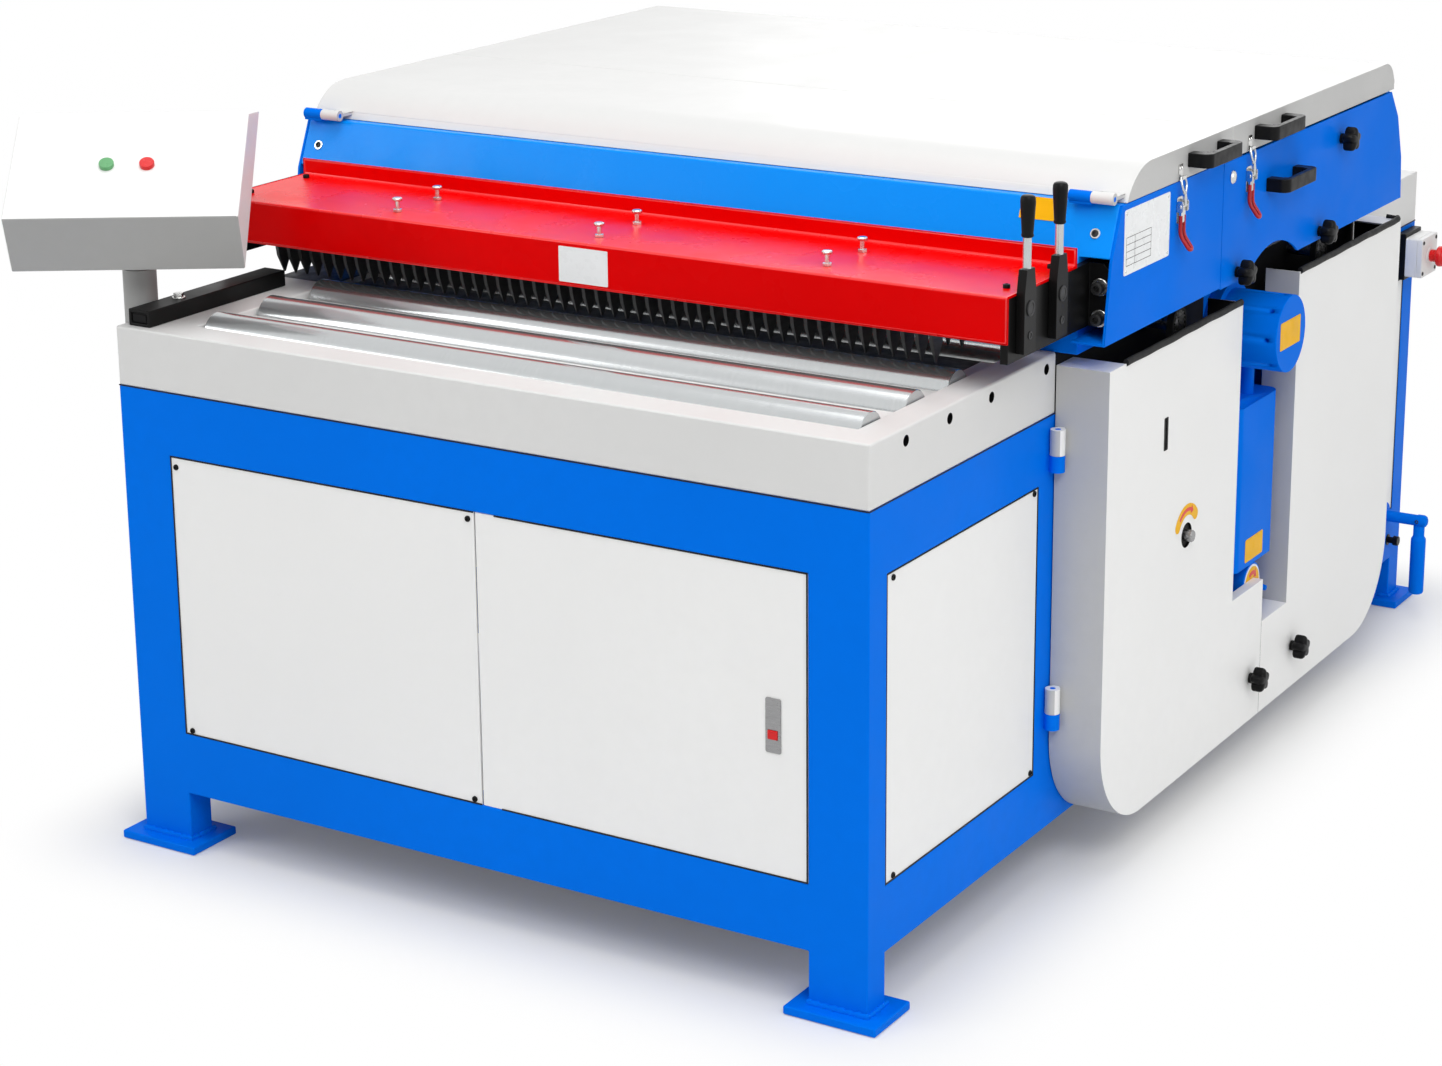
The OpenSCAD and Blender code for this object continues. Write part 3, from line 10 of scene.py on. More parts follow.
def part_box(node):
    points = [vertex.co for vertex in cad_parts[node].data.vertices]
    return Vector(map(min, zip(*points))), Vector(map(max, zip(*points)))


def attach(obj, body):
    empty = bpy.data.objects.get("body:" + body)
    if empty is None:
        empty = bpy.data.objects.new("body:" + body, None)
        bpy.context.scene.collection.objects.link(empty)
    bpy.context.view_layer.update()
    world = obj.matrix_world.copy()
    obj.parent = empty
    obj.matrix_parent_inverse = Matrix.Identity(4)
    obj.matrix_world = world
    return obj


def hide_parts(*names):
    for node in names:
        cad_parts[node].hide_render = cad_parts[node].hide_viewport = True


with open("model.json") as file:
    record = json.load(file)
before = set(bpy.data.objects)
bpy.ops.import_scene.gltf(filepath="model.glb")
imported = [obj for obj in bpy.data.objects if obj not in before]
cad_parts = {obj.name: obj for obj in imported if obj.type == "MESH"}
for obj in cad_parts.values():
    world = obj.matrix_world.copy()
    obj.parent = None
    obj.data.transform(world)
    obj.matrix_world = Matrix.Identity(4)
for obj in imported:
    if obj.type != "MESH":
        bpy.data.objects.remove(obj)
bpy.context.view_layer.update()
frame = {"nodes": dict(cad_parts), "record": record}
scene = bpy.context.scene
NODES = frame["nodes"]
BODY = {node: body for body, nodes in frame["record"]["behaviour"]["bodies"].items() for node in nodes}
SLOT = {part["node"]: part["material_slot"] for part in frame["record"]["subparts"]}

# Machine frame: millimetres from the left front corner of the frame, z from the floor
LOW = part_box("frame_legs")[0]
X, Y, Z = Vector((1, 0, 0)), Vector((0, 1, 0)), Vector((0, 0, 1))


def P(p):
    """Machine millimetres to scene metres."""
    return Vector((LOW.x + p[0] / 1000, LOW.y + p[1] / 1000, p[2] / 1000))


def machine(p):
    """Scene metres to machine millimetres."""
    return Vector(((p.x - LOW.x) * 1000, (p.y - LOW.y) * 1000, p.z * 1000))


# Materials

# The part of a noise that is used, depths of bumps in metres, and the sockets of a mix node
NOISE_LOW, NOISE_HIGH = 0.35, 0.65
PEEL_DEPTH, MARK_DEPTH = 0.0006, 0.0003
MIX_FACTOR, MIX_A, MIX_B, MIX_COLOUR = 0, 6, 7, 2


def lin(code):
    """A web colour as linear RGBA."""
    parts = [int(code[i:i + 2], 16) / 255 for i in (0, 2, 4)]
    return tuple(c / 12.92 if c <= 0.04045 else ((c + 0.055) / 1.055) ** 2.4 for c in parts) + (1.0,)


def toned(colour, factor):
    """A lighter or darker colour."""
    return tuple(min(1.0, c * factor) for c in colour[:3]) + (1.0,)


class Tree:
    """The node tree of a material or a world, emptied."""

    def __init__(self, owner):
        owner.use_nodes = True
        self.tree = owner.node_tree
        self.tree.nodes.clear()

    def node(self, kind, values=None, **settings):
        """A new node; values go to its inputs, settings to its attributes."""
        n = self.tree.nodes.new(kind)
        for key, value in settings.items():
            setattr(n, key, value)
        for key, value in (values or {}).items():
            n.inputs[key].default_value = value
        return n

    def join(self, a, b):
        self.tree.links.new(a, b)

    def seen(self):
        """One for camera, glossy and transmission rays."""
        path = self.node("ShaderNodeLightPath")
        total = path.outputs["Is Camera Ray"]
        for name in ("Is Glossy Ray", "Is Transmission Ray"):
            most = self.node("ShaderNodeMath", operation="MAXIMUM")
            self.join(total, most.inputs[0])
            self.join(path.outputs[name], most.inputs[1])
            total = most.outputs[0]
        return total

    def blend(self, kind, fac, first, second):
        """Two shaders mixed into an output node of a kind."""
        mixer = self.node("ShaderNodeMixShader")
        self.join(fac, mixer.inputs["Fac"])
        self.join(first.outputs[0], mixer.inputs[1])
        self.join(second.outputs[0], mixer.inputs[2])
        self.join(mixer.outputs[0], self.node(kind).inputs["Surface"])


class Shade(Tree):
    """A principled material whose detail comes from object-space noise."""

    def __init__(self, name, values):
        self.mat = bpy.data.materials.new(name)
        super().__init__(self.mat)
        out = self.node("ShaderNodeOutputMaterial")
        self.bsdf = self.node("ShaderNodeBsdfPrincipled", values)
        self.join(self.bsdf.outputs["BSDF"], out.inputs["Surface"])
        self.coord = self.node("ShaderNodeTexCoord")

    def noise(self, scale, detail=2.0, rough=0.5, stretch=(1, 1, 1)):
        m = self.node("ShaderNodeMapping", {"Scale": stretch})
        self.join(self.coord.outputs["Object"], m.inputs["Vector"])
        n = self.node("ShaderNodeTexNoise", {"Scale": scale, "Detail": detail, "Roughness": rough})
        self.join(m.outputs["Vector"], n.inputs["Vector"])
        return n.outputs["Fac"]

    def span(self, fac, low, high):
        """The middle part of a noise, spread over a range of values."""
        ends = {"From Min": NOISE_LOW, "From Max": NOISE_HIGH, "To Min": low, "To Max": high}
        r = self.node("ShaderNodeMapRange", ends)
        self.join(fac, r.inputs["Value"])
        return r.outputs["Result"]

    def mix(self, fac, a, b):
        """A colour between two; each input is a value or a socket."""
        m = self.node("ShaderNodeMix", data_type="RGBA")
        for value, at in ((fac, MIX_FACTOR), (a, MIX_A), (b, MIX_B)):
            if isinstance(value, (float, tuple)):
                m.inputs[at].default_value = value
            else:
                self.join(value, m.inputs[at])
        return m.outputs[MIX_COLOUR]

    def bump(self, height, strength, depth):
        b = self.node("ShaderNodeBump", {"Strength": strength, "Distance": depth})
        self.join(height, b.inputs["Height"])
        self.join(b.outputs["Normal"], self.bsdf.inputs["Normal"])

    def colour(self, socket):
        self.join(socket, self.bsdf.inputs["Base Color"])

    def rough(self, socket):
        self.join(socket, self.bsdf.inputs["Roughness"])


def paint(name, code, rough, tone, peel, peel_scale=260.0, spec=0.3):
    """Sprayed machine paint: broad tone drift, fine mottle and orange peel."""
    s = Shade(name, {"Specular IOR Level": spec})
    base = lin(code)
    broad = s.span(s.noise(scale=1.6, detail=3.0), 0.0, 1.0)
    drift = s.mix(broad, toned(base, 1 - tone), toned(base, 1 + tone))
    mottle = s.span(s.noise(scale=38.0, detail=4.0), 0.0, 1.0)
    s.colour(s.mix(mottle, drift, s.mix(0.5, drift, toned(base, 1 - tone * 0.8))))
    s.rough(s.span(s.noise(scale=7.0, detail=4.0), rough - 0.07, rough + 0.08))
    s.bump(s.noise(peel_scale), peel, PEEL_DEPTH)
    return s.mat


def metal(name, code, rough, scale, spread, bump, lines=(1, 1, 1), metallic=1.0, tone=0.10):
    """Bare or plated metal with machining marks stretched along one way."""
    s = Shade(name, {"Metallic": metallic})
    base = lin(code)
    marks = s.noise(scale, 3.0, 0.6, lines)
    s.colour(s.mix(s.span(marks, 0.0, 1.0), toned(base, 1 - tone), toned(base, 1 + tone * 0.4)))
    s.rough(s.span(s.noise(scale * 0.4, 4.0, 0.6, lines), rough - spread / 2, rough + spread))
    s.bump(marks, bump, MARK_DEPTH)
    return s.mat


def plastic(name, code, rough, grain=0.12, scale=900.0, tone=0.10, spec=0.4):
    """Moulded plastic or rubber with a fine grain and a slight bloom."""
    s = Shade(name, {"Specular IOR Level": spec})
    base = lin(code)
    bloom = s.span(s.noise(scale=22.0, detail=4.0), 0.0, 1.0)
    s.colour(s.mix(bloom, toned(base, 1 - tone), toned(base, 1 + tone)))
    s.rough(s.span(s.noise(scale=55.0, detail=3.0), rough - 0.06, rough + 0.08))
    s.bump(s.noise(scale), grain, MARK_DEPTH)
    return s.mat


BLUE = paint("machine_blue", "0072EA", rough=0.38, tone=0.04, peel=0.10, spec=0.02)
# A lighter copy of the machine blue for the hood beams: the lighter colour is painted light on the lit
# slope, the higher gloss is real
HOOD_BLUE_PAINTED_LIGHT = paint("hood_blue_painted_light", "0092FF", rough=0.26, tone=0.05, peel=0.30, peel_scale=120.0, spec=0.12)
WHITE = paint("panel_white", "F0F0EF", rough=0.42, tone=0.015, peel=0.06)
TABLE_WHITE = paint("table_white", "DADAD9", rough=0.40, tone=0.02, peel=0.08)
LID = paint("lid_grey_white", "DADAD9", rough=0.40, tone=0.02, peel=0.08)
# A darker copy of the lids' white for their side faces: painted shade
LID_SIDE_SHADE = paint("lid_side_painted_shade", "C2C2C1", rough=0.45, tone=0.03, peel=0.08)
RED = paint("guard_red", "E20002", rough=0.24, tone=0.05, peel=0.10, peel_scale=160.0, spec=0.04)
# A lighter, glossier copy of the red for the cover's top faces: painted sheen
RED_TOP_PAINTED_LIGHT = paint("guard_red_top_painted_sheen", "F00205", rough=0.26, tone=0.05, peel=0.04, peel_scale=160.0, spec=0.16)
# A brighter red for the cover's bevelled folds: painted highlight
RED_FOLD_HIGHLIGHT = paint("guard_red_fold_painted_highlight", "F21418", rough=0.30, tone=0.04, peel=0.04, peel_scale=160.0, spec=0.70)
BLACK = paint("satin_black_and_painted_shade", "0E0E0E", rough=0.40, tone=0.18, peel=0.14, spec=0.14)
GREY = paint("motor_grey", "7B7F82", rough=0.45, tone=0.06, peel=0.14)
# Pale grey; on the console's ends it is a darker copy of the white, painted shade
PALE = paint("pale_grey_and_console_end_shade", "DEDEDD", rough=0.42, tone=0.02, peel=0.08)
# A grey copy of the white for the guards' walls, and black for their inside and cut-outs: painted shade
GUARD_WALL_SHADE = paint("guard_wall_painted_shade", "BDBDBC", rough=0.50, tone=0.03, peel=0.08)
INSIDE_SHADE = paint("guard_inside_painted_shade", "1E1E1F", rough=0.60, tone=0.12, peel=0.30, spec=0.08)
POST = paint("post_grey", "A2A2A1", rough=0.45, tone=0.03, peel=0.08)
# A darker copy of the white for the console's underside: painted shade
SHADE = paint("console_underside_painted_shade", "A6A6A5", rough=0.45, tone=0.03, peel=0.08)
CHROME = metal("roller_chrome", "C4C7C8", rough=0.20, lines=(6, 0.6, 0.6), scale=60.0, spread=0.02,
               bump=0.004, tone=0.03, metallic=0.85)
BRIGHT = metal("bright_fastener", "D6D6D4", rough=0.20, scale=160.0, spread=0.12, bump=0.05)
STEEL = metal("ground_steel", "9A9A9B", rough=0.30, lines=(1, 7, 7), scale=120.0, spread=0.16, bump=0.08)
DARK = metal("blackened_steel_and_painted_shade", "363637", rough=0.42, scale=70.0, spread=0.16, bump=0.08, metallic=0.6,
             tone=0.3)
FINGER = metal("finger_steel", "444445", rough=0.36, lines=(1, 1, 5), scale=90.0, spread=0.14, bump=0.06,
               metallic=0.7)
RUBBER = plastic("black_rubber_and_painted_shade", "151515", rough=0.62, grain=0.20, scale=500.0, spec=0.25)
BLACK_PLASTIC = plastic("black_plastic", "0F0F10", rough=0.36, spec=0.12)
RED_PLASTIC = plastic("red_plastic", "D4060A", rough=0.28, grain=0.05, tone=0.06)
DIP_RED = plastic("dipped_red", "A80E18", rough=0.30, grain=0.06, scale=300.0)
GREEN_PLASTIC = plastic("green_plastic", "5FA46B", rough=0.30, grain=0.05, tone=0.06)
LABEL_WHITE = plastic("bare_white_plate", "EEF0F1", rough=0.30, grain=0.03, tone=0.02)
LABEL_YELLOW = plastic("bare_yellow_plate", "EEB40C", rough=0.38, grain=0.03, tone=0.04, spec=0.12)
LABEL_RED = plastic("red_print", "D8261C", rough=0.34, grain=0.03, tone=0.04)


# Mesh helpers, in machine millimetres

# Degrees from which an edge is sharp and below which two faces are one; merging distance in metres
SHARP, FLAT, MERGE = 35.0, 0.4, 2e-6
# Points on a rounded corner, and the most of a side that a bend takes
CORNER_STEPS, BEND_SHARE = 4, 0.48


def around(count):
    """Angles of one full turn."""
    return [2 * math.pi * i / count for i in range(count)]


def polar(at, r, t):
    """The point at an angle round a centre."""
    return (at[0] + r * math.cos(t), at[1] + r * math.sin(t))


def bridge(bm, p, q):
    """Four-sided faces between two rings."""
    for i in range(len(p)):
        j = (i + 1) % len(p)
        bm.faces.new((p[i], p[j], q[j], q[i]))


def tube(bm, rings, closed=False):
    """A skin over a row of rings, capped at both ends or joined into a loop."""
    for p, q in zip(rings, rings[1:]):
        bridge(bm, p, q)
    if closed:
        bridge(bm, rings[-1], rings[0])
    else:
        bm.faces.new(rings[0])
        bm.faces.new(rings[-1])


def box(bm, lo, hi):
    v = [bm.verts.new((x, y, z)) for x in (lo[0], hi[0]) for y in (lo[1], hi[1]) for z in (lo[2], hi[2])]
    for f in ((0, 1, 3, 2), (4, 6, 7, 5), (0, 4, 5, 1), (2, 3, 7, 6), (0, 2, 6, 4), (1, 5, 7, 3)):
        bm.faces.new([v[i] for i in f])


def cells(bm, boxes):
    """The outside of several touching boxes as one clean skin, without seams between flush faces."""
    grid = [sorted({b[s][a] for b in boxes for s in (0, 1)}) for a in range(3)]
    full = set()
    for b in boxes:
        spans = [range(grid[a].index(b[0][a]), grid[a].index(b[1][a])) for a in range(3)]
        full |= {(i, j, k) for i in spans[0] for j in spans[1] for k in spans[2]}
    known = {}

    def vert(i, j, k):
        if (i, j, k) not in known:
            known[i, j, k] = bm.verts.new((grid[0][i], grid[1][j], grid[2][k]))
        return known[i, j, k]

    for c in sorted(full):
        for a in range(3):
            for side in (0, 1):
                n = list(c)
                n[a] += 1 if side else -1
                if tuple(n) in full:
                    continue
                base = list(c)
                base[a] += side
                p, q = [(1, 2), (0, 2), (0, 1)][a]
                ring = []
                for dp, dq in ((0, 0), (1, 0), (1, 1), (0, 1)):
                    at = list(base)
                    at[p] += dp
                    at[q] += dq
                    ring.append(vert(*at))
                bm.faces.new(ring)
    bmesh.ops.recalc_face_normals(bm, faces=bm.faces)
    bmesh.ops.dissolve_limit(bm, angle_limit=0.01, verts=bm.verts, edges=bm.edges)


def lathe(bm, at, axis, profile, seg):
    """A turned form: profile is (distance along the axis, radius), closed at both ends."""
    n = Vector(axis).normalized()
    u = n.orthogonal().normalized()
    v = n.cross(u)
    rings = []
    for along, r in profile:
        c = Vector(at) + n * along
        if r == 0:
            rings.append([bm.verts.new(c)])
        else:
            rings.append([bm.verts.new(c + r * (math.cos(t) * u + math.sin(t) * v)) for t in around(seg)])
    for p, q in zip(rings, rings[1:]):
        for i in range(seg):
            j = (i + 1) % seg
            if len(p) == 1:
                bm.faces.new((p[0], q[i], q[j]))
            elif len(q) == 1:
                bm.faces.new((p[i], p[j], q[0]))
            else:
                bm.faces.new((p[i], p[j], q[j], q[i]))
    for ring in (rings[0], rings[-1]):
        if len(ring) > 1:
            bm.faces.new(ring)


def sweep(bm, path, radius, seg, closed=False):
    """A round bar along a path; radius is one number or one for each point."""
    pts = [Vector(p) for p in path]
    count = len(pts)
    radii = radius if isinstance(radius, (list, tuple)) else [radius] * count
    rings = []
    u = None
    for i, p in enumerate(pts):
        before = pts[i - 1] if i or closed else p
        after = pts[(i + 1) % count] if i < count - 1 or closed else p
        t = (after - before).normalized()
        u = t.orthogonal() if u is None else u - t * u.dot(t)
        u.normalize()
        v = t.cross(u)
        rings.append([bm.verts.new(p + radii[i] * (math.cos(a) * u + math.sin(a) * v)) for a in around(seg)])
    tube(bm, rings, closed)


def rounded(points, radius, steps=6, closed=False):
    """A path with its corners turned into bends."""
    pts = [Vector(p) for p in points]
    out = []
    for i, p in enumerate(pts):
        if not closed and i in (0, len(pts) - 1):
            out.append(p)
            continue
        a = pts[i - 1] - p
        b = pts[(i + 1) % len(pts)] - p
        r = min(radius, a.length * BEND_SHARE, b.length * BEND_SHARE)
        s = p + a.normalized() * r
        e = p + b.normalized() * r
        for k in range(steps + 1):
            t = k / steps
            out.append((1 - t) ** 2 * s + 2 * t * (1 - t) * p + t * t * e)
    return out


def prism(bm, outline, at, u, v, depth):
    """A flat outline given a depth along u x v."""
    n = u.cross(v)
    low = [bm.verts.new(Vector(at) + a * u + b * v) for a, b in outline]
    top = [bm.verts.new(Vector(at) + a * u + b * v + n * depth) for a, b in outline]
    bm.faces.new(low)
    bm.faces.new(top)
    bridge(bm, low, top)


def ring_plate(bm, outer, inner, at, u, v, depth):
    """A plate with one opening; both outlines have the same number of points."""
    n = u.cross(v)
    lo, li, to, ti = [[bm.verts.new(Vector(at) + a * u + b * v + n * d) for a, b in line]
                      for d in (0, depth) for line in (outer, inner)]
    for i in range(len(outer)):
        j = (i + 1) % len(outer)
        for quad in ((lo[i], lo[j], li[j], li[i]), (to[i], to[j], ti[j], ti[i]),
                     (lo[i], lo[j], to[j], to[i]), (li[i], li[j], ti[j], ti[i])):
            bm.faces.new(quad)


def round_rect(a0, b0, a1, b1, r):
    """The outline of a rectangle with rounded corners."""
    out = []
    for i, at in enumerate(((a1 - r, b1 - r), (a0 + r, b1 - r), (a0 + r, b0 + r), (a1 - r, b0 + r))):
        for k in range(CORNER_STEPS + 1):
            out.append(polar(at, r, math.radians(90 * i + 90 * k / CORNER_STEPS)))
    return out


def hexagon(r):
    return [polar((0, 0), r, t) for t in around(6)]


def to_metres(bm):
    for v in bm.verts:
        v.co = P(v.co)


def link(name, data):
    """A new object in the scene."""
    obj = bpy.data.objects.new(name, data)
    scene.collection.objects.link(obj)
    return obj


def place(name, bm):
    """A scene object from a mesh in the making."""
    mesh = bpy.data.meshes.new(name)
    bm.to_mesh(mesh)
    bm.free()
    return link(name, mesh)


def dress(name, bm, mat, body, slot, replaces=(), bevel=0.0, segs=2, min_len=0.0, angle=SHARP, clamp=True,
          metres=False, edge=-1):
    """Turns a mesh into a riding piece; bevel and min_len are in millimetres."""
    if not metres:
        to_metres(bm)
    bmesh.ops.recalc_face_normals(bm, faces=bm.faces)
    if bevel:
        layer = bm.edges.layers.float.new("bevel_weight_edge")
        for e in bm.edges:
            if len(e.link_faces) == 2 and e.calc_length() * 1000 >= min_len:
                e[layer] = 1.0 if e.calc_face_angle() > math.radians(angle) else 0.0
    obj = place(name, bm)
    mesh = obj.data
    for m in mat if isinstance(mat, (list, tuple)) else [mat]:
        mesh.materials.append(m)
    mesh.shade_smooth()
    mesh.set_sharp_from_angle(angle=math.radians(angle))
    if bevel:
        mod = obj.modifiers.new("edges", "BEVEL")
        mod.limit_method = "WEIGHT"
        mod.width = bevel / 1000
        mod.segments = segs
        mod.use_clamp_overlap = clamp
        mod.harden_normals = True
        mod.material = edge
    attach(obj, body)
    if replaces:
        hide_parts(*replaces)
    return obj


def skin(node, mat, bevel, segs=2, min_len=6.0, clamp=False, pick=None, edge=-1):
    """A CAD node with its edges softened, in place of the node; pick gives a face its material."""
    bm = bmesh.new()
    bm.from_mesh(NODES[node].data)
    bmesh.ops.remove_doubles(bm, verts=bm.verts, dist=MERGE)
    bmesh.ops.dissolve_limit(bm, angle_limit=math.radians(FLAT), verts=bm.verts, edges=bm.edges)
    if pick:
        bmesh.ops.recalc_face_normals(bm, faces=bm.faces)
        for f in bm.faces:
            f.material_index = pick(f.normal, machine(f.calc_center_bounds()))
    return dress(node + "_form", bm, mat, BODY[node], SLOT[node], (node,), bevel, segs, min_len, clamp=clamp,
                 metres=True, edge=edge)


def plain(node, mat):
    """A CAD node that keeps its own mesh and takes a better material."""
    data = NODES[node].data
    data.materials.clear()
    data.materials.append(mat)


def colour_from(bm, first, index):
    """Gives the faces from a count on the material at a place in the list."""
    bm.faces.ensure_lookup_table()
    for f in bm.faces[first:]:
        f.material_index = index


def screw(bm, at, axis, r, h, socket=True):
    """A screw head with a rounded rim: a cap with a sunk drive, or else a low dome."""
    edge = min(r * 0.25, h * 0.4)
    profile = [(0, r), (h - edge, r), (h - edge * 0.3, r - edge * 0.3), (h, r - edge)]
    if socket:
        profile += [(h, r * 0.52), (h * 0.45, r * 0.5), (h * 0.45, 0)]
    else:
        profile += [(h + r * 0.12, r * 0.5), (h + r * 0.18, 0)]
    lathe(bm, at, axis, profile, 20)


def hex_bolt(bm, at, axis, r, h, washer):
    """A hexagon head on a washer."""
    n = Vector(axis).normalized()
    u = n.orthogonal().normalized()
    rim = r * washer
    lathe(bm, at, axis, [(0, rim), (r * 0.22, rim), (r * 0.26, rim * 0.94), (r * 0.26, 0)], 24)
    prism(bm, hexagon(r), Vector(at) + n * r * 0.26, u, n.cross(u), h)


def bead(bm, path, r):
    """A weld bead: a lumpy bar along a path."""
    pts = [Vector(p) for p in path]
    step = 5.0
    line, radii = [], []
    for a, b in zip(pts, pts[1:]):
        count = max(2, int((b - a).length / step))
        for i in range(count):
            k = len(line)
            line.append(a.lerp(b, i / count))
            radii.append(r * (1.0 + 0.22 * math.sin(k * 2.1) + 0.1 * math.sin(k * 0.7)))
    sweep(bm, line, radii, 8)


def cut_holes(obj, holes):
    """Bores through a piece, before its edges are softened; holes are (point, axis, diameter, length)."""
    bm = bmesh.new()
    for at, axis, d, length in holes:
        lathe(bm, at, axis, [(0, d / 2), (length, d / 2)], 32)
    to_metres(bm)
    bmesh.ops.recalc_face_normals(bm, faces=bm.faces)
    tool = place("bores", bm)
    mod = obj.modifiers.new("bores", "BOOLEAN")
    mod.operation = "DIFFERENCE"
    mod.solver = "EXACT"
    mod.object = tool
    obj.modifiers.move(len(obj.modifiers) - 1, 0)
    deps = bpy.context.evaluated_depsgraph_get()
    for other in list(obj.modifiers):
        other.show_viewport = other == mod
    deps.update()
    result = bpy.data.meshes.new_from_object(obj.evaluated_get(deps))
    obj.modifiers.remove(mod)
    for other in obj.modifiers:
        other.show_viewport = True
    bpy.data.objects.remove(tool)
    obj.data = result
    obj.data.set_sharp_from_angle(angle=math.radians(SHARP))


def made(name, forms, *look, **how):
    """A piece of a few forms; each form is (function, arguments after the mesh)."""
    bm = bmesh.new()
    for draw, *args in forms:
        draw(bm, *args)
    return dress(name, bm, *look, **how)


def in_place_of(node):
    """Body, slot and replaced nodes of a piece that stands for a node."""
    return BODY[node], SLOT[node], (node,)


# Frame and table

FRAME_W, FRAME_D = 1500, 2421
TUBE, LEG, FOOT, FOOT_RIM, BEARER = 58, 108, 15, 30, 80
RAIL_LOW, PANEL_LOW, PANEL_HIGH = 104, 219, 736
TABLE_LOW, TABLE_TOP, BEAM, BRIDGE_LOW = 851, 957, 70, 931
LEG_X, SIDE_X, BACK_Y, BEAM_Y = FRAME_W - LEG, FRAME_W - TUBE, FRAME_D - TUBE, FRAME_D - BEAM
POST_Y = (587, 1999)
# Opening in the side beams for the outboard arm
ARM_Y0, ARM_Y1 = 1270, 1430
CRANK_Y, CRANK_Z = 2290, 224

CORNERS = [(x, y) for x in (0, LEG_X) for y in (0, BACK_Y)]
LEGS = [((x, y, FOOT), (x + LEG, y + TUBE, TABLE_LOW)) for x, y in CORNERS]
FEET = [((x - FOOT_RIM, y - FOOT_RIM, 0), (x + LEG + FOOT_RIM, y + TUBE + FOOT_RIM, FOOT))
        for x, y in CORNERS]
POSTS = [((x, y, PANEL_LOW), (x + TUBE, y + LEG, PANEL_HIGH)) for x in (0, SIDE_X) for y in POST_Y]
BEARERS = [((TUBE, y, RAIL_LOW), (SIDE_X, y + BEARER, PANEL_LOW)) for y in (1530, 1810)]
LOW_RAIL, HIGH_RAIL = (RAIL_LOW, PANEL_LOW), (PANEL_HIGH, TABLE_LOW)
RAILS = [((LEG, y, z0), (LEG_X, y + TUBE, z1)) for y in (0, BACK_Y) for z0, z1 in (LOW_RAIL, HIGH_RAIL)]
for x in (0, SIDE_X):
    runs = ((TUBE, BACK_Y, LOW_RAIL), (TUBE, ARM_Y0, HIGH_RAIL), (ARM_Y1, BACK_Y, HIGH_RAIL))
    for y0, y1, (z0, z1) in runs:
        RAILS.append(((x, y0, z0), (x + TUBE, y1, z1)))
made("frame_weldment", [(cells, LEGS + FEET + POSTS + BEARERS + RAILS)], BLUE, "frame", "blue_paint",
     ("frame_legs", "frame_rails"), bevel=3.0, segs=3, min_len=10)
CRANK_BOSS = [(0, 33), (9, 30), (12, 28), (12, 12), (2, 11)]
made("crank_boss", [(lathe, (FRAME_W, CRANK_Y, CRANK_Z), X, CRANK_BOSS, 40)], BLUE, "frame", "blue_paint")

bm = bmesh.new()
for x, y in CORNERS:
    left, right, front, back = x - 1, x + LEG + 1, y - 1, y + TUBE + 1
    loop = ((left, front), (right, front), (right, back), (left, back), (left, y + 3))
    bead(bm, [(a, b, FOOT + 1) for a, b in loop], 5.5)
dress("foot_welds", bm, BLUE, "frame", "blue_paint")

ROLLER_Y, FEED_Y, ROLLER_Z = (115, 260, 405, 607, 2231), (1010, 1690), 935
AXLE_BORE, FEED_BORE = 18.6, 31
# Half openings of the bed at the rollers and at the saw arbor
ROLLER_GAP, ARBOR_GAP, ARBOR_Y = 42, 140, 1350
BED_X0, BED_X1, BED_LOW, BED_TOP = 129, 1441, 939, 945
# Painted shade: the bed under the claws, and the table side behind the drive guards, are coloured dark
CLAW_Y0, CLAW_Y1, CLAW_X = 440, 970, 1400
GUARD_Y0, GUARD_Y1 = 640, 2041
# Places in the list of the table's materials; the bores, the bed under the claws and the side behind the
# guards take dark colours of painted shade
BORE_SHADE, UNDER_CLAWS_SHADE, BEHIND_GUARDS_SHADE = 1, 2, 3

beams = [((0, y, TABLE_LOW), (FRAME_W, y + BEAM, TABLE_TOP)) for y in (0, BEAM_Y)]
for x0, x1 in ((0, BED_X0), (BED_X1, FRAME_W)):
    beams += [((x0, BEAM, TABLE_LOW), (x1, ARM_Y0, TABLE_TOP)),
              ((x0, ARM_Y1, TABLE_LOW), (x1, BEAM_Y, TABLE_TOP)),
              ((x0, ARM_Y0, BRIDGE_LOW), (x1, ARM_Y1, TABLE_TOP))]
bm = bmesh.new()
cells(bm, beams)
for y in (CLAW_Y0, GUARD_Y0, CLAW_Y1, GUARD_Y1):
    bmesh.ops.bisect_plane(bm, geom=bm.verts[:] + bm.edges[:] + bm.faces[:], plane_co=(0, y, 0), plane_no=Y)
bmesh.ops.recalc_face_normals(bm, faces=bm.faces)
for f in bm.faces:
    c = f.calc_center_bounds()
    if f.normal.z > 0.9 and c.x < BED_X0 + 1 and CLAW_Y0 < c.y < CLAW_Y1:
        f.material_index = UNDER_CLAWS_SHADE
    if f.normal.x > 0.9 and c.x > FRAME_W - 1 and GUARD_Y0 < c.y < GUARD_Y1:
        f.material_index = BEHIND_GUARDS_SHADE
ring = dress("table_ring", bm, [TABLE_WHITE, BLACK, DARK, INSIDE_SHADE], "frame", "white_paint", ("table_sides",),
             bevel=4.0, segs=3, min_len=20)
bores = [(y, AXLE_BORE) for y in ROLLER_Y] + [(y, FEED_BORE) for y in FEED_Y]
cut_holes(ring, [((-1, y, ROLLER_Z), X, d, FRAME_W + 2) for y, d in bores])
# The bores' walls take black: painted shade in the holes
for face in ring.data.polygons:
    c = machine(face.center)
    if abs(face.normal.x) < 0.1 and any(math.hypot(c.y - y, c.z - ROLLER_Z) < d / 2 + 0.5 for y, d in bores):
        face.material_index = BORE_SHADE

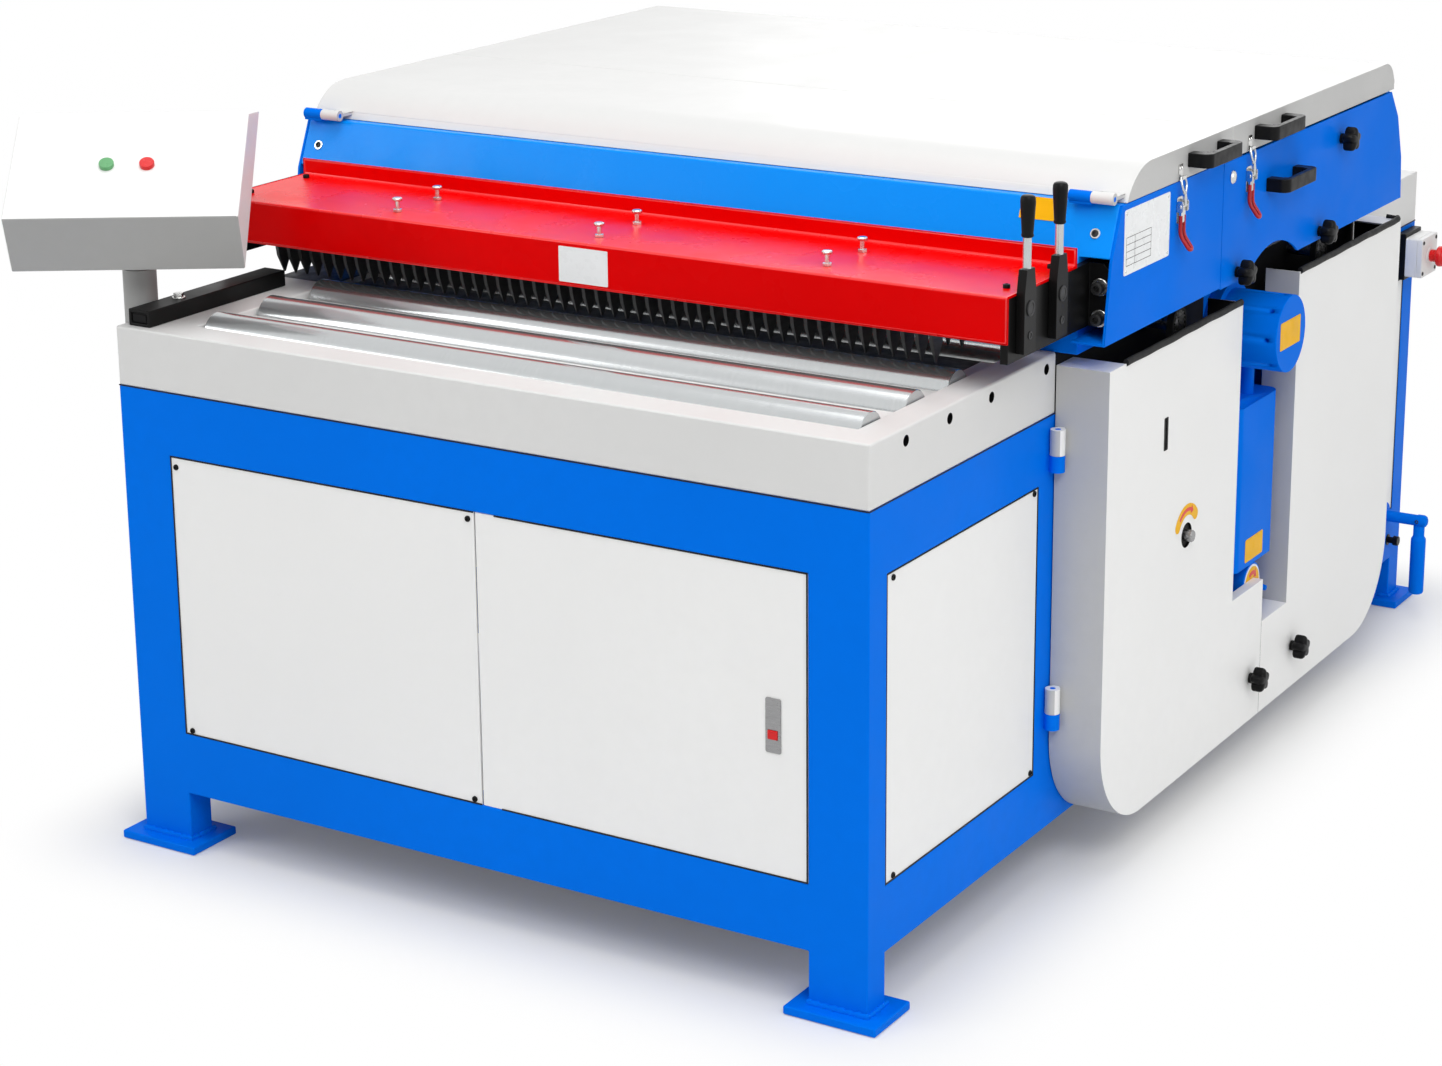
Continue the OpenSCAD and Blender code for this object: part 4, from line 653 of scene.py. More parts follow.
slots = sorted([(y, ROLLER_GAP) for y in ROLLER_Y + FEED_Y] + [(ARBOR_Y, ARBOR_GAP)])
bm = bmesh.new()
for (a, half_a), (b, half_b) in zip(slots, slots[1:]):
    box(bm, (BED_X0, a + half_a, BED_LOW), (CLAW_X, b - half_b, BED_TOP))
    box(bm, (CLAW_X, a + half_a, BED_LOW), (BED_X1, b - half_b, BED_TOP))
box(bm, (BED_X0, ROLLER_Y[-1] + ROLLER_GAP, BED_LOW), (BED_X1, BEAM_Y, BED_TOP))
# The strips under the claws take dark steel: painted shade
for f in bm.faces:
    c = f.calc_center_bounds()
    f.material_index = 1 if CLAW_Y0 < c.y < CLAW_Y1 and c.x < CLAW_X - 1 else 0
dress("bed_strips", bm, [TABLE_WHITE, DARK], "frame", "white_paint", ("table_bed",), bevel=1.0)

skin("side_panels", WHITE, 0.8)
skin("cabinet_door", WHITE, 0.8)
skin("guide_fence", BLACK, 2.0, 3)

made("fence_plug", [(prism, round_rect(24.4, 963.4, 59.6, 980.6, 2), (0, 29, 0), X, Z, 11),
                    (prism, round_rect(27, 966, 57, 978, 1.5), (0, 18, 0), X, Z, 1.6)],
     BLACK_PLASTIC, "frame", "black_plastic", bevel=0.8)
made("fence_bolt", [(hex_bolt, (42, 120, 987), Z, 9, 7, 1.35)], BRIGHT, "frame", "bare_steel", bevel=0.6)

# Sheet panels lie this far inside the frame's outer faces
PANEL_IN = 2.2
PANEL_SCREW = (5.2, 3.2)
heads = [((x, PANEL_IN, z), -Y) for x, z in ((120, 717), (747, 722), (744, 227), (124, 227))]
heads += [((FRAME_W - PANEL_IN, y, z), X) for y, z in ((79, 725), (572, 728), (84, 227), (575, 227))]
made("panel_screws", [(screw, at, way, *PANEL_SCREW) for at, way in heads], BLACK, "frame", "black_paint")

# Black strips of painted shade in the gaps round the sheet panels: width, depth, and distance in from the
# outer faces
GAP_SHADE_WIDE, GAP_SHADE_DEEP, GAP_SHADE_IN = 2.2, 1.3, 1.95


def gap_shade_strips(bm, at, u, a0, a1, ends):
    """Thin black strips of painted shade in the gap along the rim of a sheet panel; ends are where its
    upright strips begin.
    """
    low, high = PANEL_LOW + GAP_SHADE_WIDE, PANEL_HIGH - GAP_SHADE_WIDE
    strips = [(a0, PANEL_LOW, a1, low), (a0, high, a1, PANEL_HIGH)]
    strips += [(a, low, a + GAP_SHADE_WIDE, high) for a in ends]
    for left, bottom, right, top in strips:
        prism(bm, [(left, bottom), (right, bottom), (right, top), (left, top)], at, u, Z, GAP_SHADE_DEEP)


FRONT_PANEL_END = 758.5
DOOR_GAP_SHADE_X0, DOOR_GAP_SHADE_X1 = 800, 1391
PANELS_Y = ((TUBE, POST_Y[0]), (POST_Y[0] + LEG, POST_Y[1]), (POST_Y[1] + LEG, BACK_Y))
gap_shades = [(gap_shade_strips, (0, GAP_SHADE_IN, 0), X, LEG, FRONT_PANEL_END, (LEG,)),
         (gap_shade_strips, (0, FRAME_D - GAP_SHADE_IN, 0), -X, -LEG_X, -LEG, (-LEG_X, -LEG - GAP_SHADE_WIDE))]
for y0, y1 in (PANELS_Y[0], PANELS_Y[2]):
    gap_shades.append((gap_shade_strips, (FRAME_W - GAP_SHADE_IN, 0, 0), Y, y0, y1, (y0, y1 - GAP_SHADE_WIDE)))
for y0, y1 in PANELS_Y:
    gap_shades.append((gap_shade_strips, (GAP_SHADE_IN, 0, 0), -Y, -y1, -y0, (-y1, -y0 - GAP_SHADE_WIDE)))
made("panel_gap_shade", gap_shades, RUBBER, "frame", "rubber_black")
door_gap_shade = (gap_shade_strips, (0, GAP_SHADE_IN, 0), X, DOOR_GAP_SHADE_X0, DOOR_GAP_SHADE_X1, (DOOR_GAP_SHADE_X1 - GAP_SHADE_WIDE,))
made("cabinet_door_gap_shade", [door_gap_shade], RUBBER, "cabinet_door", "rubber_black")

# The dark line of painted shade in the gap between the table and the frame: its height, and how far it
# stands out and in
SEAM_Z0, SEAM_Z1, SEAM_OUT, SEAM_IN = 849.8, 851.6, 0.25, 0.3
bm = bmesh.new()
for y0, y1 in ((-SEAM_OUT, SEAM_IN), (FRAME_D - SEAM_IN, FRAME_D + SEAM_OUT)):
    box(bm, (0, y0, SEAM_Z0), (FRAME_W, y1, SEAM_Z1))
for x0, x1 in ((-SEAM_OUT, SEAM_IN), (FRAME_W - SEAM_IN, FRAME_W + SEAM_OUT)):
    box(bm, (x0, SEAM_IN, SEAM_Z0), (x1, ARM_Y0, SEAM_Z1))
    box(bm, (x0, ARM_Y1, SEAM_Z0), (x1, FRAME_D - SEAM_IN, SEAM_Z1))
dress("table_gap_shade", bm, RUBBER, "frame", "rubber_black")
RAIL_BOLT = [(0, 12), (2, 12), (2, 7), (14, 7), (14, 10.5), (24, 10.5), (25, 9.5), (25, 0)]
made("rail_bolt", [(lathe, (FRAME_W, 2345, 152), X, RAIL_BOLT, 24)], BLACK, "frame", "black_paint")

LOCK_RIM, LOCK_HOLE = round_rect(1315, 428, 1343, 520, 3), round_rect(1319.2, 450.7, 1337.8, 466.3, 0.6)
made("lock_plate", [(ring_plate, LOCK_RIM, LOCK_HOLE, (0, PANEL_IN, 0), X, Z, 2.2)], STEEL, "cabinet_door",
     "bare_steel", bevel=0.6)
skin("lock_button", RED_PLASTIC, 1.2, 3, 1.0)

# Rollers and drive

ROLLER_X, LEFT_AXLE_X, RIGHT_AXLE_X = 131.2, 22, 1439
ROLLER_SKIN = [(0, 14), (0.2, 33), (0.4, 36.8), (1.6, 38), (1306, 38), (1307.2, 36.8), (1307.4, 33),
               (1307.6, 14)]
LEFT_AXLE = [(0, 7), (1.5, 9), (107, 9), (108, 13), (109, 13)]
RIGHT_AXLE = [(0, 13), (1, 13), (2, 9), (38, 9), (39.5, 7)]
for i, y in enumerate(ROLLER_Y):
    name = "infeed_roller_%d" % (i + 1) if i < 4 else "outfeed_roller"
    bm = bmesh.new()
    lathe(bm, (ROLLER_X, y, ROLLER_Z), X, ROLLER_SKIN, 96)
    shell = len(bm.faces)
    lathe(bm, (LEFT_AXLE_X, y, ROLLER_Z), X, LEFT_AXLE, 24)
    lathe(bm, (RIGHT_AXLE_X, y, ROLLER_Z), X, RIGHT_AXLE, 24)
    # The axle ends take black: painted shade for the dark bores they sit in
    colour_from(bm, shell, 1)
    dress(name + "_form", bm, [CHROME, BLACK], name, "chrome_steel", (name,), angle=25)
for node in ("feed_roller_front", "feed_roller_rear", "gear_sprocket", "jack_sprocket", "arbor_shaft",
             "saw_blades", "motor_pulley"):
    plain(node, STEEL)
for node in ("pressure_roller_front", "pressure_roller_rear", "belts_and_chains"):
    plain(node, RUBBER)
for node in ("main_motor", "feed_gearmotor"):
    plain(node, GREY)
skin("bearing_blocks", BLUE, 2.0)

# Hood

skin("hood_posts", BLUE, 2.0)
skin("hood_sides", BLUE, 1.0)
skin("hood_beams", HOOD_BLUE_PAINTED_LIGHT, 3.0, 3)
skin("side_door", BLUE, 1.0)
for node in ("front_lid", "rear_lid"):
    # The lids' side faces take the darker copy: painted shade
    skin(node, [LID, LID_SIDE_SHADE], 1.0, pick=lambda n, c: 1 if abs(n.x) > 0.7 else 0)
for node in ("front_lid_handle", "rear_lid_handle", "side_door_handle"):
    skin(node, BLACK_PLASTIC, 2.5, 3, 1.0, clamp=True)
skin("hinge_knuckles", BLUE, 0.6)
skin("outboard_arm", BLUE, 1.5)

# Data plate on the hood's side, with an empty ruled table
PLATE_BACK, PLATE_FRONT, RULE = 1600.2, 1600.9, 0.9
made("bare_data_plate", [(prism, round_rect(682, 1089, 866, 1200, 4), (PLATE_BACK, 0, 0), Y, Z, 0.8)],
     LABEL_WHITE, "frame", "white_paint", bevel=0.3)
rivets = [(screw, (PLATE_FRONT, y, z), X, 2.6, 1.0, False) for y in (690, 858) for z in (1096, 1193)]
made("plate_rivets", rivets, BRIGHT, "frame", "bare_steel")
rules = [(690, z, 790, z + RULE) for z in (1104, 1116, 1128, 1140, 1152)]
rules += [(y, 1104, y + RULE, 1153) for y in (690, 724, 789)]
made("plate_rules", [(prism, round_rect(*rule, 0.3), (PLATE_FRONT, 0, 0), Y, Z, 0.25) for rule in rules],
     BLACK, "frame", "black_paint")

# Plate and screws on the front beam's slope
SLOPE = Vector((0, -0.92, 0.39)).normalized()
UPHILL = Vector((0, 0.39, 0.92)).normalized()
SLOPE_PLATE_AT = Vector((1454.5, 666.5, 1192)) + SLOPE * 0.3
made("bare_slope_plate", [(prism, round_rect(-36, -19, 36, 19, 2), SLOPE_PLATE_AT, X, UPHILL, 0.7)],
     LABEL_YELLOW, "frame", None)
BEAM_SCREWS = ((1561, 654, 1163), (-61, 654, 1163))
BEAM_WASHER = [(0, 9), (1.4, 9), (2.0, 8.3), (2.0, 6.4), (0.6, 6)]
made("beam_screw_washers", [(lathe, at, SLOPE, BEAM_WASHER, 32) for at in BEAM_SCREWS], BRIGHT, "frame",
     "bare_steel")
made("beam_screws", [(screw, at, SLOPE, 5.9, 4) for at in BEAM_SCREWS], DARK, "frame", "dark_steel")
DOOR_BOLT = [(0, 12), (2.2, 12), (4.6, 9.8), (6.2, 5.4), (6.7, 0)]
made("door_bolt_head", [(lathe, (1600.1, 1139, 1177), X, DOOR_BOLT, 32)], BRIGHT, "side_door", "bare_steel")

# Anti-kickback guard

skin("kickback_arms", BLACK, 1.2)
ARM_BOLT_X, ARM_BOLTS_Z = 1574, (1075, 1022)
ARM_WASHER = [(0, 15), (2.6, 15), (3.2, 14.2), (3.2, 8)]
made("arm_bolt_washers", [(lathe, (ARM_BOLT_X, 649.9, z), -Y, ARM_WASHER, 32) for z in ARM_BOLTS_Z],
     BRIGHT, "frame", "bare_steel")
made("arm_bolts", [(screw, (ARM_BOLT_X, 647, z), -Y, 11, 15) for z in ARM_BOLTS_Z], DARK, "frame",
     "dark_steel")
# The cover's top faces take the lighter red of painted sheen, and its bevels a painted highlight
skin("kickback_cover", [RED, RED_TOP_PAINTED_LIGHT, RED_FOLD_HIGHLIGHT], 4.0, 4, pick=lambda n, c: 1 if n.z > 0.7 else 0, edge=2)

# Each row's name, its shaft's y and its first claw's x; the shafts' height; the claws' pitch and end
ROWS = (("front", 398, 43.5), ("rear", 515, 56.5))
ROW_Z, CLAW_PITCH, CLAWS_END = 1092, 26, 1400
CLAW_HEAD, CLAW_HALF, TIP_HALF = 19, 3.5, 1.0


def finger(bm, x, y):
    """One claw on its shaft: a round head, a wide blade and a point thinned to its tip."""
    head = [polar((0, 0), CLAW_HEAD, math.radians(a)) for a in range(0, 181, 20)]
    neck = [(-3.5, -82), (30.5, -82)]
    tip = [(11.5, -115), (15.5, -115)]

    def sides(points, half):
        return [[bm.verts.new((side, y + a, ROW_Z + b)) for a, b in points] for side in (x - half, x + half)]

    top, low = sides(head + neck, CLAW_HALF), sides(tip, TIP_HALF)
    count = len(head)
    for loop, end in zip(top, low):
        bm.faces.new(loop)
        bm.faces.new((loop[count], loop[count + 1], end[1], end[0]))
    for i in range(len(top[0])):
        j = (i + 1) % len(top[0])
        if i != count:
            bm.faces.new((top[0][i], top[0][j], top[1][j], top[1][i]))
    bm.faces.new((top[0][count], top[1][count], low[1][0], low[0][0]))
    bm.faces.new((top[0][count + 1], top[1][count + 1], low[1][1], low[0][1]))
    bm.faces.new((low[0][0], low[0][1], low[1][1], low[1][0]))


for row, y, x in ROWS:
    claws = []
    while x < CLAWS_END:
        claws.append((finger, x, y))
        x += CLAW_PITCH
    node = "finger_row_" + row
    made(node + "_form", claws, FINGER, *in_place_of(node), bevel=0.5, segs=1, min_len=3)

# Bolts and screws on the cover's top
COVER_Z = 1118
LIMIT_BOLT = [(0, 4.2), (15, 4.2), (15, 8.6), (16, 9.2), (19.5, 9.2), (21, 7.5), (21.4, 0)]
limits = []
for x in (316, 748, 1197):
    for y in (403, 522):
        limits.append((prism, hexagon(8.5), (x, y, COVER_Z + 0.2), X, Y, 5))
        limits.append((lathe, (x, y, COVER_Z + 5), Z, LIMIT_BOLT, 24))
made("limit_bolts", limits, BRIGHT, "frame", "chrome_steel", bevel=0.5)
made("cover_screws", [(screw, (x, y, COVER_Z), Z, 6, 6.5) for x in (-24, 1523) for y in (406, 567)],
     BLACK, "frame", "black_paint")
made("bare_cover_plate", [(prism, round_rect(701, 1047, 801, 1109, 2), (0, 347.8, 0), X, Z, 0.7)],
     LABEL_WHITE, "frame", "white_paint")

# Hand levers: inner face and thickness of the plate, middle of the rod
LEVER_X, LEVER_THICK, ROD_X = 1554.5, 15, 1562
LEVER_OUT = LEVER_X + LEVER_THICK
LEVER_PLATE = [(-21, 1020), (21, 1020), (21, 1118), (14, 1156), (-14, 1156), (-21, 1118)]
ROW_SHAFT, LEVER_ROD = [(0, 11), (1, 12), (1608, 12)], [(0, 7), (60, 7)]
PIVOT = [(0, 13), (1.6, 13), (2.2, 12), (2.2, 9.5), (1.2, 9), (1.2, 0)]
PIVOT_PIN = [(0, 6.5), (1.2, 6.5), (1.2, 4.5), (0.2, 4.2), (0.2, 0)]
LEVER_GRIP = [(0, 7.5), (0.8, 9.5), (4, 10.2), (6, 9.4), (40, 11.6), (56, 12.5), (63, 12.2), (66.5, 10.4),
              (68, 7.5), (68.3, 0)]
for row, y, _ in ROWS:
    body, node = "kickback_" + row, "kickback_lever_" + row
    shaft = (lathe, (-53.5, y, ROW_Z), X, ROW_SHAFT, 32)
    side = (prism, LEVER_PLATE, (LEVER_X, y, 0), Y, Z, LEVER_THICK)
    pivot = (lathe, (LEVER_OUT, y, ROW_Z), X, PIVOT, 32)
    pin = (lathe, (LEVER_OUT, y, 1048), X, PIVOT_PIN, 24)
    rod = (lathe, (ROD_X, y, 1150), Z, LEVER_ROD, 24)
    grip = (lathe, (ROD_X, y, 1206), Z, LEVER_GRIP, 32)
    made("lever_plate_" + row, [shaft, side], BLACK, body, "black_paint", (node,), bevel=1.5, segs=2)
    made("lever_pivot_" + row, [pivot, pin], DARK, body, "dark_steel")
    made("lever_rod_" + row, [rod], CHROME, body, "chrome_steel")
    made("lever_grip_" + row, [grip], BLACK_PLASTIC, body, "black_plastic")

# Drive guards

ADJUSTER_AT = (985, 557)
GUARD_OUT, GUARD_IN, GUARDS_MEET, WALL = 1600, 1597, 1362, 3
INSIDE_Z0, INSIDE_Z1 = 98, 932
# Each guard's length at its top, and the height below which it is longer
LEFT_SHAPE, RIGHT_SHAPE = (573, 365), (553, 280)
# The rounded low corner of a guard, and the radius of its inside
BEND_IN, BEND_Z, BEND_R = 170, 265, 168
SLOT_Y, SLOT_Z0, SLOT_Z1, SLOT_HALF, HOLE_R = 879.5, 740, 800, 5, 24


def guard_face(n, c):
    """White sheet, with painted shade: a grey on the walls, and black inside and in the cut-outs."""
    q = c + n * 4
    left = q.y < GUARDS_MEET
    deep, step = LEFT_SHAPE if left else RIGHT_SHAPE
    in_wall = q.y - GUARD_Y0 if left else GUARD_Y1 - q.y
    inside = FRAME_W + 1 < q.x < GUARD_IN and in_wall > WALL and INSIDE_Z0 < q.z < INSIDE_Z1
    inside = inside and (in_wall < deep - WALL or q.z < step - WALL)
    if in_wall < BEND_IN and q.z < BEND_Z:
        inside = inside and math.hypot(in_wall - BEND_IN, q.z - BEND_Z) < BEND_R
    slot = abs(c.y - SLOT_Y) < SLOT_HALF and SLOT_Z0 < c.z < SLOT_Z1
    hole = math.hypot(c.y - ADJUSTER_AT[0], c.z - ADJUSTER_AT[1]) < HOLE_R
    if inside or (GUARD_IN < c.x < GUARD_OUT and abs(n.x) < 0.5 and (slot or hole)):
        return 2
    return 0 if abs(n.x) > 0.7 or n.z > 0.5 else 1


skin("left_guard", [WHITE, GUARD_WALL_SHADE, INSIDE_SHADE], 0.8, pick=guard_face)
skin("right_guard", [WHITE, GUARD_WALL_SHADE, INSIDE_SHADE], 0.8, pick=guard_face)

ADJUSTER = [(0, 10), (1, 11), (8.5, 11), (8.5, 19), (9.5, 20), (27, 20), (28, 19), (28, 11), (119, 11),
            (121, 9.4), (121, 0)]
adjuster = made("tension_adjuster_form", [(lathe, (1492, *ADJUSTER_AT), X, ADJUSTER, 32)], STEEL,
                *in_place_of("tension_adjuster"))
cut_holes(adjuster, [((1604, ADJUSTER_AT[0] - 30, ADJUSTER_AT[1]), Y, 8, 60)])
# A black ring deep behind the adjuster's hole in the guard: painted shade for the dark seen through it
HOLE_SHADE_RING = [(0, 11.2), (0, 33), (1, 34), (3, 34), (4, 33), (4, 11.2)]
made("adjuster_hole_shade", [(lathe, (1591, *ADJUSTER_AT), X, HOLE_SHADE_RING, 40)], RUBBER,
     BODY["tension_adjuster"], "rubber_black")

TRIM_X, TRIM_Z, TRIM_WIDE, TRIM_TALL, TRIM_SEG, TRIM_STEP = 1598.5, 936, 5.2, 6.5, 14, 14


def trim(name, path, body):
    """A rubber strip that follows a sheet edge a little loosely; path is (x, y)."""
    bm = bmesh.new()
    pts = [Vector((x, y, TRIM_Z)) for x, y in path]
    line = []
    for a, b in zip(pts, pts[1:]):
        count = max(2, int((b - a).length / TRIM_STEP))
        line += [a.lerp(b, i / count) for i in range(count)]
    line.append(pts[-1])
    rings = []
    for i, p in enumerate(line):
        t = (line[min(i + 1, len(line) - 1)] - line[max(i - 1, 0)]).normalized()
        side = t.cross(Z).normalized()
        drift = 0.7 * math.sin(i * 0.83) + 0.5 * math.sin(i * 0.31 + 1)
        ring = []
        for a in around(TRIM_SEG):
            across = side * (TRIM_WIDE * math.cos(a) + 0.5 * drift)
            ring.append(bm.verts.new(p + across + Z * (TRIM_TALL * math.sin(a) + drift)))
        rings.append(ring)
    tube(bm, rings)
    dress(name, bm, RUBBER, BODY[body], "rubber_black")


trim("left_guard_trim", [(TRIM_X, 706), (TRIM_X, 1207)], "left_guard")
bend = rounded([(TRIM_X, 2012, TRIM_Z), (TRIM_X, 2034, TRIM_Z), (1572, 2034, TRIM_Z)], 16)
trim("right_guard_trim", [(TRIM_X, 1492), (TRIM_X, 2000)] + [(p.x, p.y) for p in bend], "right_guard")

ARC_STEPS, CAP_STEPS, ARROW_STEPS = 24, 8, 16
# Size of an arrow's head as shares of its half width
HEAD_LONG, HEAD_WIDE = 3.2, 2.4


def arc_band(bm, at, r0, r1, a0, a1, x, depth):
    """A flat band round a point, with rounded ends."""
    turn = [math.radians(a0 + (a1 - a0) * i / ARC_STEPS) for i in range(ARC_STEPS + 1)]
    mid, half = (r0 + r1) / 2, (r1 - r0) / 2
    line = [polar(at, r1, a) for a in turn]
    for end, start in ((turn[-1], 0), (turn[0], math.pi)):
        c = polar(at, mid, end)
        for k in range(1, CAP_STEPS):
            line.append(polar(c, half, end + (math.pi * k / CAP_STEPS + start)))
        if start == 0:
            line += [polar(at, r0, a) for a in reversed(turn)]
    prism(bm, line, (x, 0, 0), Y, Z, depth)


def arc_arrow(bm, at, r, half, a0, a1, x, depth):
    """A curved arrow whose head is at a1."""
    turn = [math.radians(a0 + (a1 - a0) * i / ARROW_STEPS) for i in range(ARROW_STEPS + 1)]
    head = math.radians(a1) + math.copysign(HEAD_LONG * half / r, a1 - a0)
    line = [polar(at, r + half, a) for a in turn]
    line += [polar(at, r + HEAD_WIDE * half, turn[-1]), polar(at, r, head),
             polar(at, r - HEAD_WIDE * half, turn[-1])]
    line += [polar(at, r - half, a) for a in reversed(turn)]
    prism(bm, line, (x, 0, 0), Y, Z, depth)


made("turn_mark", [(arc_band, ADJUSTER_AT, 37, 58, 40, 150, 1600.2, 0.5)], LABEL_YELLOW,
     "left_guard", None)
# A black rim round the guard's slot, which widens its dark: painted shade
SLOT_RIM, SLOT_HOLE = round_rect(871.5, 740.5, 887.5, 799.5, 2), round_rect(876.2, 742.2, 882.8, 797.8, 0.6)
made("slot_shade_rim", [(ring_plate, SLOT_RIM, SLOT_HOLE, (1600.1, 0, 0), Y, Z, 0.7)], RUBBER, "left_guard",
     "rubber_black")
made("turn_mark_arrow", [(arc_arrow, ADJUSTER_AT, 47.5, 3.4, 134, 70, 1600.7, 0.2)], LABEL_RED,
     "left_guard", "red_paint")

# Arm plates, drum, wall stud and star knobs

DRUM_AT = (1356, 354)
made("bare_arm_plates", [(prism, round_rect(1297, 828, 1394, 880, 3), (1640.2, 0, 0), Y, Z, 0.6),
                         (prism, round_rect(1302, 410, 1387, 455, 4), (1585.2, 0, 0), Y, Z, 0.6)],
     LABEL_YELLOW, "frame", None)
DISC, DISC_FACE = [(0, 38), (0.5, 38), (0.6, 37), (0.6, 0)], [(0, 34), (0.3, 34), (0.3, 0)]
made("drum_disc", [(lathe, (1579.2, *DRUM_AT), X, DISC, 48)], LABEL_WHITE, "frame", "white_paint")
made("drum_disc_face", [(lathe, (1579.9, *DRUM_AT), X, DISC_FACE, 48)], LABEL_YELLOW, "frame", None)
made("drum_disc_arrow", [(arc_arrow, DRUM_AT, 22, 4, 130, 62, 1580.3, 0.2)], LABEL_RED, "frame",
     "red_paint")
WALL_STUD = [(0, 12), (10, 12), (10, 7), (62, 7), (64, 6.2), (70, 5), (70, 0)]
made("wall_stud", [(lathe, (FRAME_W, 1455, 315), X, WALL_STUD, 24)], BLUE, "frame", "blue_paint")

KNOB_X, KNOB_SEG, LOBES = 1600.5, 70, 5
# Radius between the lobes, height of a lobe, and its rings as (distance, share of the radius)
KNOB_R, LOBE_TALL = 15.5, 8.5
KNOB_RINGS = ((9, 0.80), (10.5, 0.94), (13, 1.0), (26, 1.0), (29.5, 0.95), (31.8, 0.84), (33.2, 0.66),
              (33.8, 0.4))


def star_knob(node):
    """A five-lobe knob with a domed face on a short neck."""
    lo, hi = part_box(node)
    at = Vector((KNOB_X, ((lo.y + hi.y) / 2 - LOW.y) * 1000, (lo.z + hi.z) / 2 * 1000))
    bm = bmesh.new()
    lathe(bm, at - X * 12, X, [(0, 4), (12.5, 4), (12.5, 10), (22, 10), (22, 0)], 28)
    rings = []
    for along, share in KNOB_RINGS:
        ring = []
        for t in around(KNOB_SEG):
            wave = 0.5 + 0.5 * math.cos(LOBES * t)
            r = (KNOB_R + LOBE_TALL * wave ** 0.8) * share
            ring.append(bm.verts.new(at + X * along + Y * r * math.sin(t) + Z * r * math.cos(t)))
        rings.append(ring)
    tube(bm, rings)
    dress(node + "_form", bm, BLACK_PLASTIC, BODY[node], "black_plastic", (node,), angle=45)


for node in ("left_guard_knob", "right_guard_knob", "door_knob_1", "door_knob_2", "door_knob_3"):
    star_knob(node)

# Console and controls

skin("console_post", POST, 1.0)
SWIVEL = math.radians(33)
ALONG = Vector((math.cos(SWIVEL), math.sin(SWIVEL), 0))
DEEP = Vector((-math.sin(SWIVEL), math.cos(SWIVEL), 0))
CONSOLE_AT = Vector((-40, 113, 1054))
CONSOLE_SIDE = [(41, 247), (-171, 106), (-113, 0), (187, 226)]
CONSOLE_HALF = 202
# Places in the list of the console's materials: white on top, and darker copies on the ends and underneath
# as painted shade
TOP, END_SHADED, UNDER_SHADED = 0, 1, 2
bm = bmesh.new()
prism(bm, CONSOLE_SIDE, CONSOLE_AT - ALONG * CONSOLE_HALF, DEEP, Z, 2 * CONSOLE_HALF)
bmesh.ops.recalc_face_normals(bm, faces=bm.faces)
for f in bm.faces:
    f.material_index = END_SHADED if abs(f.normal.dot(ALONG)) > 0.7 else TOP if f.normal.z > 0.1 else UNDER_SHADED
case = len(bm.faces)
# The neck under the case takes the same darker grey
lathe(bm, CONSOLE_AT - Z * 19.5, Z, [(0, 30), (150, 30)], 48)
colour_from(bm, case, UNDER_SHADED)
dress("console_case", bm, [WHITE, PALE, SHADE], *in_place_of("console_box"), bevel=3.0, segs=3)
skin("start_button", GREEN_PLASTIC, 1.5, 3, 0.5, clamp=True)
skin("stop_button", RED_PLASTIC, 1.5, 3, 0.5, clamp=True)

ESTOP_AT = (2357.5, 792)
ESTOP_BOX = round_rect(2310, 750, 2405, 834, 5)
ESTOP_BUTTON = [(0, 8), (16.6, 8), (16.8, 11.5), (19, 13), (29, 13), (31, 14.5), (33, 20), (34.5, 21.6),
                (38, 22), (42, 21.6), (46, 19.6), (49.4, 15.6), (51.4, 9), (52, 0)]
made("estop_bracket", [(box, (FRAME_W, 2310, 742), (1519.8, 2405, 842))], BLACK, "frame", "black_paint",
     ("estop_box",), bevel=2.0)
made("estop_housing", [(prism, ESTOP_BOX, (1520, 0, 0), Y, Z, 25),
                       (prism, round_rect(2311, 751, 2404, 833, 4), (1545, 0, 0), Y, Z, 1),
                       (prism, ESTOP_BOX, (1546, 0, 0), Y, Z, 10),
                       (lathe, (1555.8, *ESTOP_AT), X, [(0, 17), (2, 17), (3, 15.5), (3, 0)], 32)],
     PALE, "frame", "grey_paint", bevel=1.6, segs=3, min_len=4)
made("estop_screws", [(screw, (1556, y, z), X, 4.2, 1.6) for y in (2319, 2396) for z in (759, 825)],
     DARK, "frame", "dark_steel")
made("estop_button_form", [(lathe, (1542, *ESTOP_AT), X, ESTOP_BUTTON, 48)], RED_PLASTIC,
     *in_place_of("estop_button"), angle=50)

CRANK_HUB = [(0, 11), (1, 12), (70, 12), (73, 13.4), (85, 13.6), (90.5, 11.4), (93, 7), (93.5, 0)]
CRANK_GRIP = [(0, 12), (24, 12), (26, 13), (30, 15.6), (34, 16), (148, 16), (152, 14.6), (154, 11.5),
              (155, 0)]
made("crank_form", [(lathe, (1461, CRANK_Y, CRANK_Z), X, [(0, 8), (1, 9), (52, 9)], 24),
                    (lathe, (1512.5, CRANK_Y, CRANK_Z), X, CRANK_HUB, 32),
                    (lathe, (1588, CRANK_Y, CRANK_Z - 10), -Z, CRANK_GRIP, 32)],
     BLUE, BODY["crank_handle"], "blue_paint", ("crank_handle",))
made("crank_screw", [(screw, (1586, 2278.4, CRANK_Z), -Y, 4.2, 2.4)], DARK, BODY["crank_handle"],
     "dark_steel")

